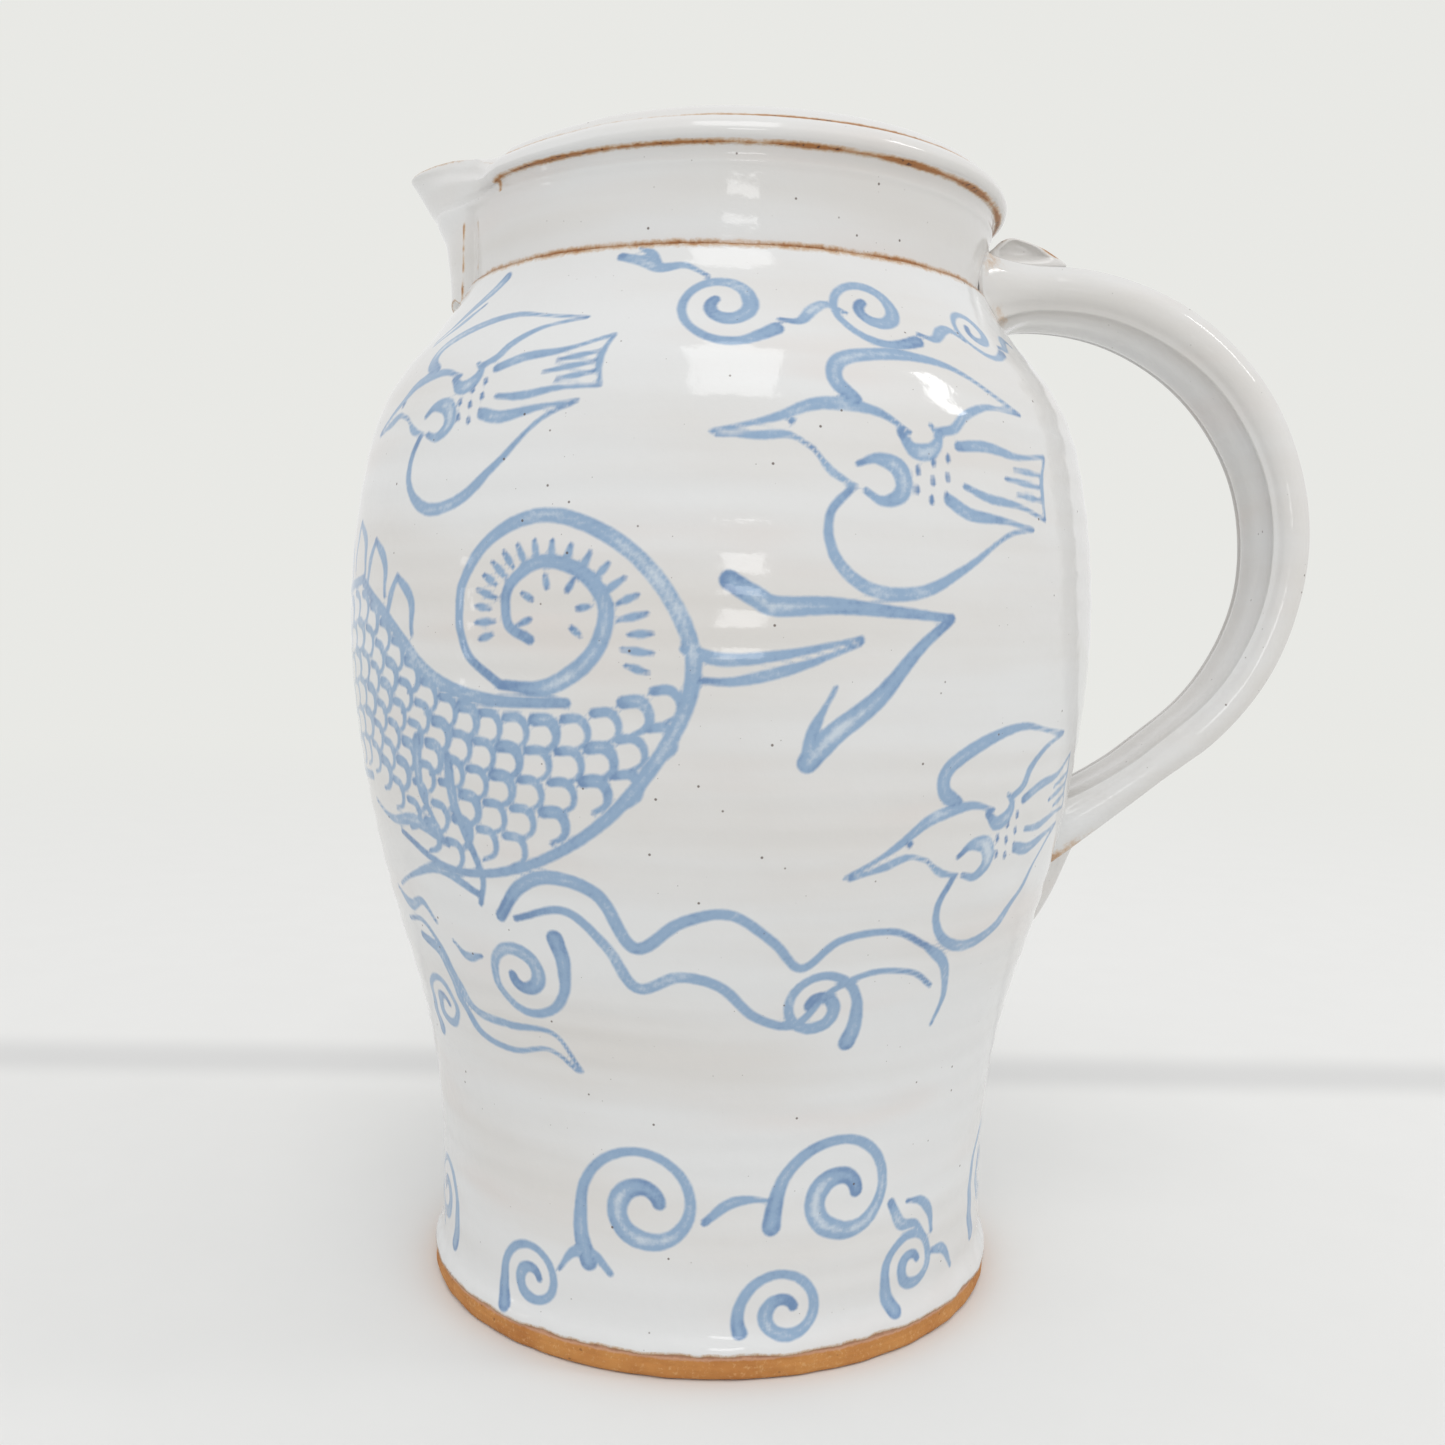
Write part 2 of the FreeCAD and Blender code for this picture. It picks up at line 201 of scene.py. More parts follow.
class Shader:
    """A material being wired: each call adds a node and gives back its first output."""

    def __init__(self, name):
        self.material = bpy.data.materials.new(name)
        self.material.use_nodes = True
        self.tree = self.material.node_tree
        self.surface = self.tree.nodes["Principled BSDF"]
        coordinates = self.tree.nodes.new("ShaderNodeTexCoord")
        self.place = coordinates.outputs["Object"]

    def add(self, kind, settings=None, output=0, **inputs):
        """A node of that kind. Inputs go by name, or by number as i0, i1 and so on."""
        node = self.tree.nodes.new("ShaderNode" + kind)
        for key, value in (settings or {}).items():
            setattr(node, key, value)
        for key, value in inputs.items():
            numbered = key[0] == "i" and key[1:].isdigit()
            self.feed(node.inputs[int(key[1:])] if numbered else node.inputs[key], value)
        return node.outputs[output]

    def feed(self, socket, value):
        if isinstance(value, bpy.types.NodeSocket):
            self.tree.links.new(value, socket)
        else:
            socket.default_value = value

    def value(self, name):
        return self.add("Attribute", {"attribute_name": name}, output="Fac")

    def maths(self, operation, a, b):
        return self.add("Math", {"operation": operation}, i0=a, i1=b)

    def plus(self, a, b):
        return self.maths("ADD", a, b)

    def times(self, a, b):
        return self.maths("MULTIPLY", a, b)

    def swing(self, noise, amount):
        """A noise made to swing to either side of nothing, by half the amount."""
        return self.times(self.maths("SUBTRACT", noise, 0.5), amount)

    def step(self, low, high, value):
        """0 to 1 as value goes from low to high, smoothly."""
        settings = {"interpolation_type": "SMOOTHSTEP", "clamp": True}
        return self.add("MapRange", settings, Value=value, **{"From Min": low, "From Max": high})

    def mix(self, factor, a, b):
        return self.add("Mix", {"data_type": "RGBA"}, output=2, i0=factor, i6=a, i7=b)

    def stretched(self, x, y, z):
        return self.add("Mapping", Vector=self.place, Scale=(x, y, z))

    def noise(self, scale, detail=3.0, rough=0.5, where=None):
        where = where or self.place
        return self.add("TexNoise", Vector=where, Scale=scale, Detail=detail, Roughness=rough)

    def dots(self, scale, radius, share):
        """Specks where the surface passes near scattered points; share of them are there."""
        distance = self.add("TexVoronoi", output="Distance", Vector=self.place, Scale=scale)
        near = self.step(radius, radius * 0.45, distance)
        chosen = self.add("SeparateColor", Color=distance.node.outputs["Color"])
        return self.times(near, self.maths("LESS_THAN", chosen, share))

    def bump(self, height, strength, distance, **below):
        return self.add("Bump", Height=height, Strength=strength, Distance=distance, **below)

    def finish(self, **inputs):
        for key, value in inputs.items():
            self.feed(self.surface.inputs[key.replace("_", " ")], value)
        return self.material


GLAZE_THICK = (0.735, 0.740, 0.742, 1.0)
GLAZE_THIN = (0.680, 0.662, 0.640, 1.0)
GLAZE_PINK = (0.700, 0.640, 0.610, 1.0)
TOAST_HALO = (0.570, 0.410, 0.275, 1.0)
TOAST_LINE = (0.365, 0.145, 0.034, 1.0)
TOAST_BURNT = (0.090, 0.030, 0.012, 1.0)
IRON_SPECK = (0.100, 0.070, 0.055, 1.0)
INK_PALE = (0.545, 0.622, 0.702, 1.0)
INK_FULL = (0.246, 0.374, 0.546, 1.0)
INK_DARK = (0.115, 0.225, 0.420, 1.0)
CLAY_PALE = (0.580, 0.265, 0.072, 1.0)
CLAY_DARK = (0.445, 0.168, 0.038, 1.0)
CLAY_SAND = (0.700, 0.430, 0.190, 1.0)
CLAY_SPECK = (0.160, 0.060, 0.022, 1.0)
CLAY_BLUSH = (0.620, 0.360, 0.250, 1.0)
CLAY_SCORCH = (0.300, 0.140, 0.075, 1.0)


def inked(s, colour):
    """Blue wash over that colour: it soaks unevenly and is darkest where a stroke's tone is high."""
    depth = s.plus(s.value("ink"), s.swing(s.noise(620.0, 2.0), 0.30))
    tone = s.plus(s.value("tone"), s.swing(s.noise(150.0, 4.0, 0.6), 0.80))
    tone = s.plus(tone, s.swing(s.noise(900.0, 2.0, 0.6), 0.35))
    ink = s.mix(s.step(0.05, 0.55, tone), INK_PALE, INK_FULL)
    ink = s.mix(s.step(0.55, 1.05, tone), ink, INK_DARK)
    return s.mix(s.times(s.step(-0.42, 0.38, depth), 0.94), colour, ink)


def glaze(name, painted):
    """Glossy milky glaze over a speckled body; it is thin and toasted over edges."""
    s = Shader(name)
    clouds = s.noise(22.0, 4.0, 0.55)
    bands = s.noise(1.0, 3.0, 0.5, where=s.stretched(9.0, 9.0, 130.0))
    thin = s.plus(s.value("thin"), s.swing(bands, 0.9))
    thin = s.plus(thin, s.swing(clouds, 0.7))
    colour = s.mix(s.step(0.0, 1.0, thin), GLAZE_THICK, GLAZE_THIN)
    blush = s.noise(1.0, 2.0, 0.5, where=s.stretched(14.0, 14.0, 60.0))
    colour = s.mix(s.times(s.step(0.52, 0.75, blush), 0.45), colour, GLAZE_PINK)
    if painted:
        colour = inked(s, colour)
    toast = s.value("toast")
    worn = s.plus(toast, s.swing(s.noise(420.0, 5.0, 0.75), 1.25))
    present = s.step(0.02, 0.25, toast)
    colour = s.mix(s.times(s.step(0.05, 0.60, worn), present), colour, TOAST_HALO)
    colour = s.mix(s.times(s.step(0.42, 0.85, worn), present), colour, TOAST_LINE)
    burnt = s.times(s.step(0.56, 0.66, s.noise(900.0, 3.0, 0.6)), s.step(0.55, 0.95, worn))
    colour = s.mix(s.times(burnt, present), colour, TOAST_BURNT)
    colour = s.mix(s.times(s.dots(230.0, 0.085, 0.34), 0.85), colour, IRON_SPECK)
    colour = s.mix(s.times(s.dots(520.0, 0.085, 0.16), 0.55), colour, IRON_SPECK)
    dull = s.times(s.step(0.35, 0.9, worn), 0.32)
    rough = s.plus(s.plus(s.times(clouds, 0.05), 0.055), dull)
    ripple = s.bump(s.noise(75.0, 2.0), 0.22, 0.0009)
    pitted = s.bump(s.noise(420.0, 3.0, 0.5), 0.10, 0.0004, Normal=ripple)
    return s.finish(Base_Color=colour, Roughness=rough, Normal=pitted, IOR=1.52)


def clay(name):
    """Bare toasted stoneware: sandy, matt, darker where the glaze stops."""
    s = Shader(name)
    grain = s.noise(1100.0, 3.0, 0.7)
    colour = s.mix(s.step(0.30, 0.72, s.noise(60.0, 5.0, 0.65)), CLAY_PALE, CLAY_DARK)
    colour = s.mix(s.times(s.step(0.52, 0.72, grain), 0.55), colour, CLAY_SAND)
    colour = s.mix(s.times(s.dots(330.0, 0.16, 0.30), 0.60), colour, CLAY_SPECK)
    fringe = s.plus(s.value("fringe"), s.swing(s.noise(520.0, 4.0, 0.7), 0.9))
    colour = s.mix(s.times(s.step(0.35, 0.85, fringe), 0.75), colour, CLAY_BLUSH)
    colour = s.mix(s.times(s.step(0.75, 1.15, fringe), 0.55), colour, CLAY_SCORCH)
    rough = s.plus(s.times(grain, 0.14), 0.72)
    sand = s.bump(s.noise(1500.0, 3.0, 0.7), 0.55, 0.00022)
    return s.finish(Base_Color=colour, Roughness=rough, Normal=sand)


painted_glaze = glaze("painted_glaze", True)
white_glaze = glaze("white_glaze", False)
bare_clay = clay("bare_clay")


# ------------------------------------------------------------------ the thrown outline


def cad_outline(node):
    """Height and outer radius of a turned CAD node, in mm, from the bottom up."""
    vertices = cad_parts[node].data.vertices
    points = np.array([v.co for v in vertices]) / MM
    normals = np.array([v.normal for v in vertices])
    radius = np.maximum(np.hypot(points[:, 0], points[:, 1]), 1e-6)
    outward = (normals[:, :2] * points[:, :2]).sum(axis=1) / radius > 0.2
    height = np.round(points[outward, 2], 1)
    levels = np.unique(height)
    return levels, np.array([radius[outward][height == level].max() for level in levels])


def softened(values, reach):
    """A running bell average over that many samples each way, with the ends carried on straight."""
    spread = np.arange(-3 * reach, 3 * reach + 1)
    weight = np.exp(-0.5 * (spread / reach) ** 2)
    pad = 3 * reach
    before = values[0] - (values[pad:0:-1] - values[0])
    after = values[-1] - (values[-2 : -pad - 2 : -1] - values[-1])
    return np.convolve(np.concatenate([before, values, after]), weight / weight.sum(), "valid")


wall_levels, wall_radii = cad_outline("body_wall")
WALL_HEIGHTS = np.arange(FOOT_TOP, COLLAR_BOTTOM + 0.01, 0.25)
WALL_RADII = softened(np.interp(WALL_HEIGHTS, wall_levels, wall_radii), 7)
collar_levels, collar_radii = cad_outline("collar")


def pot_radius(height):
    """Outer radius of the turned pot at a height, below the rim."""
    heights = np.concatenate([WALL_HEIGHTS, collar_levels[1:]])
    radii = np.concatenate([WALL_RADII, collar_radii[1:]])
    return np.interp(height, heights, radii)


# ------------------------------------------------------------------ brushwork


BRUSH_TIP = 1.0
# Degrees swept from the middle of a scroll, and how far out it has wound, as a share of its radius.
SCROLL_REACH = (
    (0.0, 63.0, 159.0, 243.0, 333.0, 423.0, 529.0, 567.0),
    (0.26, 0.33, 0.40, 0.46, 0.68, 0.87, 1.00, 1.28),
)
# The same degrees, and how much of the heavy and of the fine width the brush has there.
SCROLL_WIDTH = (
    (0.0, 63.0, 130.0, 235.0, 300.0, 350.0, 423.0, 500.0, 567.0),
    (0.66, 0.78, 1.0, 0.95, 0.55, 0.10, 0.0, 0.0, 0.0),
    (0.0, 0.0, 0.0, 0.0, 0.3, 0.85, 0.88, 1.1, 2.0),
)


class Brushwork:
    """Strokes laid on the outer wall. Each sample is a turn, a run up the wall, a half width and a tone."""

    def __init__(self, heights, radii):
        lengths = np.hypot(np.diff(heights), np.diff(radii))
        self.heights = heights
        self.runs = np.concatenate([[0.0], np.cumsum(lengths)])
        self.radii = radii
        self.strokes = []
        self.place = (0.0, 0.0, 1.0, 0.0, 1.0)

    def at(self, degrees, height, size=1.0, lean=0.0, flip=False):
        """Where the next strokes go: their middle, size, lean in degrees, and whether they are mirrored."""
        run = np.interp(height, self.heights, self.runs)
        self.place = (math.radians(degrees), run, size, math.radians(lean), -1.0 if flip else 1.0)

    def stroke(self, points, width=0.0, start=0.35, end=0.15, peak=0.4, tone=0.45):
        """One stroke through those points in mm, as wide as width at its peak and that share at its ends.

        A third number on each point is the width there, in place of all that.
        """
        turn, run, size, lean, side = self.place
        line = evenly(spline(np.asarray(points, float) * size, 8), 0.8)
        x = line[:, 0] * side
        y = line[:, 1]
        across = x * math.cos(lean) - y * math.sin(lean)
        along = x * math.sin(lean) + y * math.cos(lean)
        runs = np.clip(run + along, self.runs[0] + 0.5, self.runs[-1] - 0.5)
        turns = turn + across / np.interp(runs, self.runs, self.radii)
        s = np.linspace(0.0, 1.0, len(line))
        if line.shape[1] == 3:
            wide = line[:, 2]
        else:
            rise = start + (1.0 - start) * ease(0.0, peak, s)
            fall = end + (1.0 - end) * (1.0 - ease(peak, 1.0, s))
            wide = width * np.minimum(rise, fall)
        half = 0.5 * np.maximum(wide, BRUSH_TIP)
        shade = tone + 0.30 * hump(s, 0.10) + 0.22 * hump(s - 1.0, 0.08) - 0.12 * hump(s - peak, 0.2)
        self.strokes.append((turns, runs, half, shade))

    def dab(self, x, y, width, length=0.0, angle=0.0, tone=0.6):
        """A short touch of the brush."""
        dx = 0.5 * max(length, 0.2) * math.cos(math.radians(angle))
        dy = 0.5 * max(length, 0.2) * math.sin(math.radians(angle))
        self.stroke([(x - dx, y - dy), (x + dx, y + dy)], width, 0.8, 0.6, 0.4, tone)

    def scroll(self, x, y, radius, line=2.1, start=25.0, sweep=562.0):
        """A curl: a heavy comma round a dark blob, then a finer line that winds out to a foot."""
        swept = np.linspace(0.0, sweep, 30)
        reach = radius * np.interp(swept, *SCROLL_REACH)
        angle = np.radians(start + swept)
        heavy = 0.12 * line + 0.30 * radius
        degrees, heavy_share, line_share = np.array(SCROLL_WIDTH)
        wide = np.interp(swept, degrees, heavy * heavy_share + line * line_share)
        points = np.column_stack([x + reach * np.cos(angle), y + reach * np.sin(angle), wide])
        self.stroke(points, tone=0.48)

    def lay(self, turns, runs, radii):
        """Depth inside the nearest stroke, in mm and negative outside, and its tone, for a grid of points."""
        depth = np.full((len(runs), len(turns)), -6.0)
        tone = np.full(depth.shape, 0.4)
        margin = 3.0
        for stroke_turns, stroke_runs, half, shade in self.strokes:
            level = (runs > stroke_runs.min() - margin) & (runs < stroke_runs.max() + margin)
            rows = np.flatnonzero(level)
            if not len(rows):
                continue
            middle = 0.5 * (stroke_turns.min() + stroke_turns.max())
            reach = 0.5 * (stroke_turns.max() - stroke_turns.min()) + margin / radii[rows].min()
            offset = wrapped(turns - middle)
            columns = np.flatnonzero(np.abs(offset) < reach)
            px = (offset[columns][None, :] * radii[rows][:, None]).ravel()
            py = np.repeat(runs[rows], len(columns))
            scale = np.repeat(radii[rows], len(columns))
            best = np.full(len(px), -6.0)
            hue = np.full(len(px), 0.4)
            for k in range(len(half) - 1):
                ax = (stroke_turns[k] - middle) * scale
                bx = (stroke_turns[k + 1] - middle) * scale
                ay, by = stroke_runs[k], stroke_runs[k + 1]
                dx, dy = bx - ax, by - ay
                t = np.clip(((px - ax) * dx + (py - ay) * dy) / (dx * dx + dy * dy + 1e-9), 0.0, 1.0)
                away = np.hypot(px - ax - t * dx, py - ay - t * dy)
                inside = half[k] + t * (half[k + 1] - half[k]) - away
                nearer = inside > best
                best = np.where(nearer, inside, best)
                hue = np.where(nearer, shade[k] + t * (shade[k + 1] - shade[k]), hue)
            block = np.ix_(rows, columns)
            best = best.reshape(len(rows), len(columns))
            hue = hue.reshape(best.shape)
            nearer = best > depth[block]
            tone[block] = np.where(nearer, hue, tone[block])
            depth[block] = np.maximum(depth[block], best)
        return depth, tone


def bird(b):
    """A small bird in flight, its beak to the left."""
    b.stroke([(-41, -1), (-34, 1.5), (-28, 4), (-20, 8), (-9, 8.5), (-1, 5.5)], 2.7, 0.2, 0.4, 0.6)
    b.stroke([(-40, -1.5), (-32, -0.5), (-26, 0.5), (-21, -1.5)], 1.9, 0.2, 0.3, 0.5)
    b.dab(-25.5, 3.4, 2.0)
    b.stroke([(-21, -1.5), (-17, -5.5), (-12, -7.5)], 1.7, 0.4, 0.5, 0.5)
    wing = [(-13, 10), (-17, 14), (-15, 19), (-4, 22.5), (9, 23), (22, 19), (31, 16.5)]
    b.stroke(wing, 3.4, 0.9, 0.12, 0.14)
    b.stroke([(31, 16.5), (20, 15.5), (13, 12), (10, 8.5), (6, 7)], 2.2, 0.2, 0.8, 0.8)
    b.stroke([(-3, 5), (0, 2), (4, 2.5), (6, 5.5), (4, 8)], 3.6, 0.5, 0.3, 0.45)
    b.stroke([(-12, -3), (-8, -1.2), (-3, -2.5), (-2, -7), (-6, -9.5), (-10, -8)], 4.0, 0.3, 0.35, 0.45)
    far_wing = [(-13, -8), (-17, -14), (-15, -22), (-7, -27), (4, -26), (14, -20), (26, -11), (35, -8)]
    b.stroke(far_wing, 2.7, 0.6, 0.15, 0.4)
    b.stroke([(35, -8), (25, -8), (15, -8.5), (9, -6.5)], 2.8, 0.2, 0.9, 0.9)
    b.stroke([(11, 5), (19, 6.5), (29, 6.5), (40, 9)], 2.4, 0.9, 0.2, 0.2)
    b.stroke([(40, 9), (38.5, 2), (40, -5)], 1.7, 0.3, 0.3, 0.5)
    b.stroke([(40, -5), (30, -4), (20, -4.2), (13, -3)], 1.9, 0.2, 0.7, 0.7)
    for k, reach in enumerate((9.0, 12.0, 8.0)):
        b.stroke([(37 - reach, 3.6 - 2.6 * k), (38, 4.4 - 2.8 * k)], 1.5, 0.5, 0.5, 0.5)
    for row in range(3):
        for column in range(3):
            b.dab(1.2 + 3.6 * row, 2.0 - 3.9 * column - 1.4 * (row % 2), 1.5, 1.1, 100, 0.7)


def shoulder_scrolls(b):
    """A run of curls round the shoulder, under the collar."""
    b.at(-15.0, 231.0)
    b.stroke([(-5, 2), (0, 0.5), (4, -1.5), (9, -1), (14, -4)], 2.9, 0.7, 0.3, 0.3)
    b.stroke([(-1, 4), (2, 2), (4, -1)], 2.0, 0.5, 0.4, 0.4)
    for k, degrees in enumerate((0.0, 24.0, 46.0, 112.0, 136.0, 161.0, 185.0, 210.0, 234.0)):
        size = (1.0, 0.96, 0.72)[k % 3]
        b.at(degrees, 221.0 + (k % 2), size, 6.0 * (-1) ** k)
        b.scroll(0, 0, 10.8, 2.0, start=140.0, sweep=540.0)
        b.stroke([(10, -5), (14, -5.5), (17, -2), (20, -0.5), (24, -3)], 2.7, 0.5, 0.4, 0.5)
    b.at(-52.0, 226.5, 1.0, 40.0)
    b.stroke([(9, 1), (4, 0), (-3, -0.5), (-13, -1.5)], 3.2, 0.9, 0.25, 0.15)
    b.stroke([(3, -3.5), (-4, -3.5), (-13, -3)], 1.9, 0.4, 0.3, 0.4)


def along(line, k):
    """The point of a polyline at that row, which may fall between two."""
    return np.array([np.interp(k, np.arange(len(line)), column) for column in line.T])


def scales(b, upper, lower, rows=6, count=34, pitch=6.4, wide=3.3, deep=4.2):
    """Rows of curved scales between two lines, as many rows as there is room for."""
    for i in range(1, rows + 1):
        for j in range(count):
            k = (j + 0.5 * (i % 2) + 0.4) / count * (len(upper) - 1)
            top, low = along(upper, k), along(lower, k)
            depth = np.linalg.norm(top - low)
            if i * pitch > depth - 2.0:
                continue
            middle = top + (low - top) * (i * pitch / depth)
            down = wide * (low - top) / depth
            ahead = deep * np.array([-(low - top)[1], (low - top)[0]]) / depth
            arc = [middle - down, middle + 0.75 * (ahead - down), middle + ahead]
            arc += [middle + 0.75 * (ahead + down), middle + down]
            b.stroke(arc, 2.0 + 0.7 * ((i + j) % 3 == 0), 0.95, 0.40, 0.2, 0.45)


def serpent(b):
    """A scaled tail that comes round the belly, rises, curls over and ends in a barb."""
    back = [(-262, 31), (-246, 32), (-222, 29), (-196, 20), (-170, 8), (-143, 4), (-118, 14), (-97, 17)]
    back += [(-80, 8), (-64, -3), (-48, -7), (-30, -7), (-13, -1)]
    belly = [(-262, 30), (-246, 22), (-222, 12), (-196, -4), (-170, -22), (-143, -32), (-118, -28)]
    belly += [(-97, -27), (-80, -38), (-60, -44), (-40, -41), (-22, -30), (-9, -13)]
    b.at(0.0, 150.0)
    upper = spline(back, 10)
    lower = spline(belly, 10)
    b.stroke(back[:8], 2.4, 0.2, 0.9, 0.9)
    b.stroke(back[7:12], 3.0, 0.8, 0.7, 0.5)
    b.stroke(belly[:8], 2.4, 0.2, 0.9, 0.9)
    outside = [(-5, 1), (-10, 14), (-20, 24), (-34, 29), (-47, 25), (-55, 15), (-54, 3), (-45, -4)]
    b.stroke(belly[8:] + outside, 3.3, 0.5, 0.6, 0.6)
    inside = [(-44, -4), (-34, -4), (-25, 2), (-22, 11), (-27, 18), (-36, 20), (-43, 15), (-43, 8), (-38, 5)]
    b.stroke(inside, 3.6, 0.6, 0.6, 0.2, 0.5)
    for k in range(19):
        a = math.radians(196 - 12.0 * k)
        hub = np.array((-34.0, 9.5 - 0.25 * k))
        ray = np.array((math.cos(a) * (1.0 + 0.016 * k), math.sin(a)))
        b.stroke([hub + ray * 16.8, hub + ray * (13.2 - 1.2 * (k % 2))], 1.7, 0.6, 0.5, 0.5, 0.5)
    for k in range(6):
        a = math.radians(200 - 48 * k)
        b.dab(-33.0 + 6.5 * math.cos(a), 10.5 + 6.0 * math.sin(a), 1.6, 2.4, math.degrees(a), 0.6)
    scales(b, upper, lower)
    for k in range(12):
        base = along(upper, (k + 0.5) / 12 * 0.72 * (len(upper) - 1))
        b.stroke([base + (-6.0, 1.5), base + (-5.0, 7), base + (-1.5, 12.5)], 2.1, 0.5, 0.7, 0.6)
        b.stroke([base + (-1.5, 12.5), base + (4.0, 8), base + (4.6, 0.5)], 2.6, 0.6, 0.5, 0.4)
    b.at(6.0, 152.0)
    b.stroke([(-16, 2), (-9, 0), (2, 1), (14, 3.5), (18, 4.5)], 2.6, 0.9, 0.4, 0.15)
    b.stroke([(-13, -4), (-6, -4), (6, -1), (18, 3.5)], 2.3, 0.6, 0.3, 0.4)
    b.stroke([(-8, 15), (-3, 12), (1, 10.2), (12, 10.5), (26, 9.5), (38, 8.5)], 4.0, 0.95, 0.45, 0.12, 0.5)
    b.stroke([(38, 8.5), (30, 2), (22, -7), (13, -14), (8, -19.5)], 4.6, 0.45, 0.95, 0.88, 0.5)
    b.stroke([(8, -19.5), (9, -13), (13, -5)], 3.2, 0.9, 0.2, 0.1, 0.5)


def legs_and_mist(b):
    """Limbs and drifting lines under the serpent."""
    b.at(-45.0, 104.0)
    b.stroke([(9, 27), (9, 18), (12, 9), (14, 2), (12, -4)], 2.9, 0.9, 0.5, 0.1, 0.5)
    b.stroke([(-1, 30), (-2, 20), (2, 12), (5, 8)], 3.2, 0.95, 0.3, 0.1, 0.5)
    b.stroke([(5, 8), (-6, 12), (-18, 11), (-30, 14)], 3.0, 0.5, 0.2, 0.3)
    b.stroke([(12, -2), (0, 2), (-12, -1), (-22, -5)], 2.4, 0.7, 0.3, 0.3)
    b.at(-33.0, 100.0)
    drift = [(0, -2), (6, 5), (14, 8), (24, 5), (30, -6), (40, 0), (50, 2), (58, -4)]
    drift += [(63, -10), (72, -4), (84, -3), (92, -7)]
    b.stroke(drift, 3.0, 0.9, 0.5, 0.1, 0.5)
    lower = [(4, -2), (16, 1), (24, -6), (29, -15), (38, -12), (46, -14), (52, -21)]
    lower += [(60, -23), (68, -16), (78, -12), (88, -13), (93, -17)]
    b.stroke(lower, 2.5, 0.6, 0.5, 0.3)
    b.stroke([(92, -7), (97, -12), (97, -20), (93, -27)], 2.6, 0.6, 0.4, 0.2)
    b.at(16.0, 81.0, flip=True)
    b.scroll(0, 0, 9.0)
    b.at(-31.0, 86.0)
    b.scroll(0, 0, 10.8, start=200.0)
    b.stroke([(-11, 2), (-16, 1), (-20, 4)], 2.2, 0.5, 0.4, 0.4)
    b.at(-55.0, 72.0)
    b.scroll(0, 0, 7.8, 1.9)
    b.stroke([(-2, 17), (6, 14), (9, 4), (14, -3), (24, -5), (34, -3), (40, -7)], 2.8, 0.8, 0.3, 0.1)
    b.stroke([(-8, 20), (1, 21), (7, 15), (13, 3), (24, 1), (36, 1), (41, -7)], 2.3, 0.5, 0.35, 0.5)
    b.stroke([(-12, 27), (-4, 24), (3, 26), (8, 22)], 2.7, 0.4, 0.4, 0.4)


def foot_clouds(b):
    """Banks of curling cloud round the foot."""
    for turned in (0.0, 152.0, 232.0):
        b.at(-35.0 + turned, 15.0)
        b.scroll(0, 0, 8.8, 2.0)
        b.stroke([(7.5, 4.5), (11, 9), (16, 9.5), (20, 6)], 2.6, 0.4, 0.6, 0.5)
        b.at(-12.0 + turned, 36.0)
        b.scroll(0, 0, 14.5, 2.2)
        b.stroke([(13, -2), (18, 2), (23, 3), (28, 2)], 2.5, 0.7, 0.3, 0.4)
        b.at(24.0 + turned, 37.5, 1.0, -8.0)
        b.scroll(0, 0, 15.0, 2.5, sweep=540.0)
        b.stroke([(14, -2), (18, -7), (23, -7.5), (27, -11)], 2.8, 0.8, 0.4, 0.3)
        b.stroke([(19, -2), (24, -2.5), (28, -6), (29, -10)], 2.5, 0.4, 0.5, 0.5)
        b.at(13.5 + turned, 13.5, 1.0, 35.0)
        b.scroll(0, 0, 10.2, 2.3, start=0.0, sweep=528.0)
        b.at(41.5 + turned, 17.5, 1.0, 10.0)
        b.scroll(0, 0, 8.6, 2.1)
        b.stroke([(7.5, 0), (12, -2), (15, -8)], 2.5, 0.6, 0.5, 0.3)
    b.at(76.0, 27.0)
    b.scroll(0, 0, 13.0, 2.2)
    b.at(-70.0, 21.0, flip=True)
    b.scroll(0, 0, 10.0)


# Degrees, height, size, lean and whether it is mirrored, for each bird.
BIRDS = (
    (-40.5, 204.0, 0.86, 7.0, False),
    (25.0, 191.0, 0.98, -7.0, False),
    (43.0, 116.5, 0.92, 10.0, False),
    (119.0, 199.0, 0.84, 5.0, True),
    (170.0, 192.0, 0.88, -6.0, False),
    (131.0, 119.0, 0.92, -8.0, False),
    (193.0, 112.0, 0.86, 8.0, False),
)


def paint(b):
    shoulder_scrolls(b)
    for where in BIRDS:
        b.at(*where)
        bird(b)
    serpent(b)
    legs_and_mist(b)
    foot_clouds(b)


# ------------------------------------------------------------------ belly, inside and foot

COLUMNS = 720
turns = np.linspace(-math.pi, math.pi, COLUMNS, endpoint=False)


def thrown(turn, height):
    """How far the thrower's fingers leave the wall from true, in mm."""
    spiral = np.sin(2.0 * math.pi * (height / 7.4) + turn + 1.5 * wander(turn, height, 3, 2, 90.0))
    strength = 0.060 * (1.0 + 0.6 * wander(turn, height, 4, 3, 60.0))
    return strength * spiral + 0.09 * wander(turn, height, 5, 3, 150.0) - 0.13


# How far the bare clay runs up past the turned foot.
BARE_RISE = 1.1


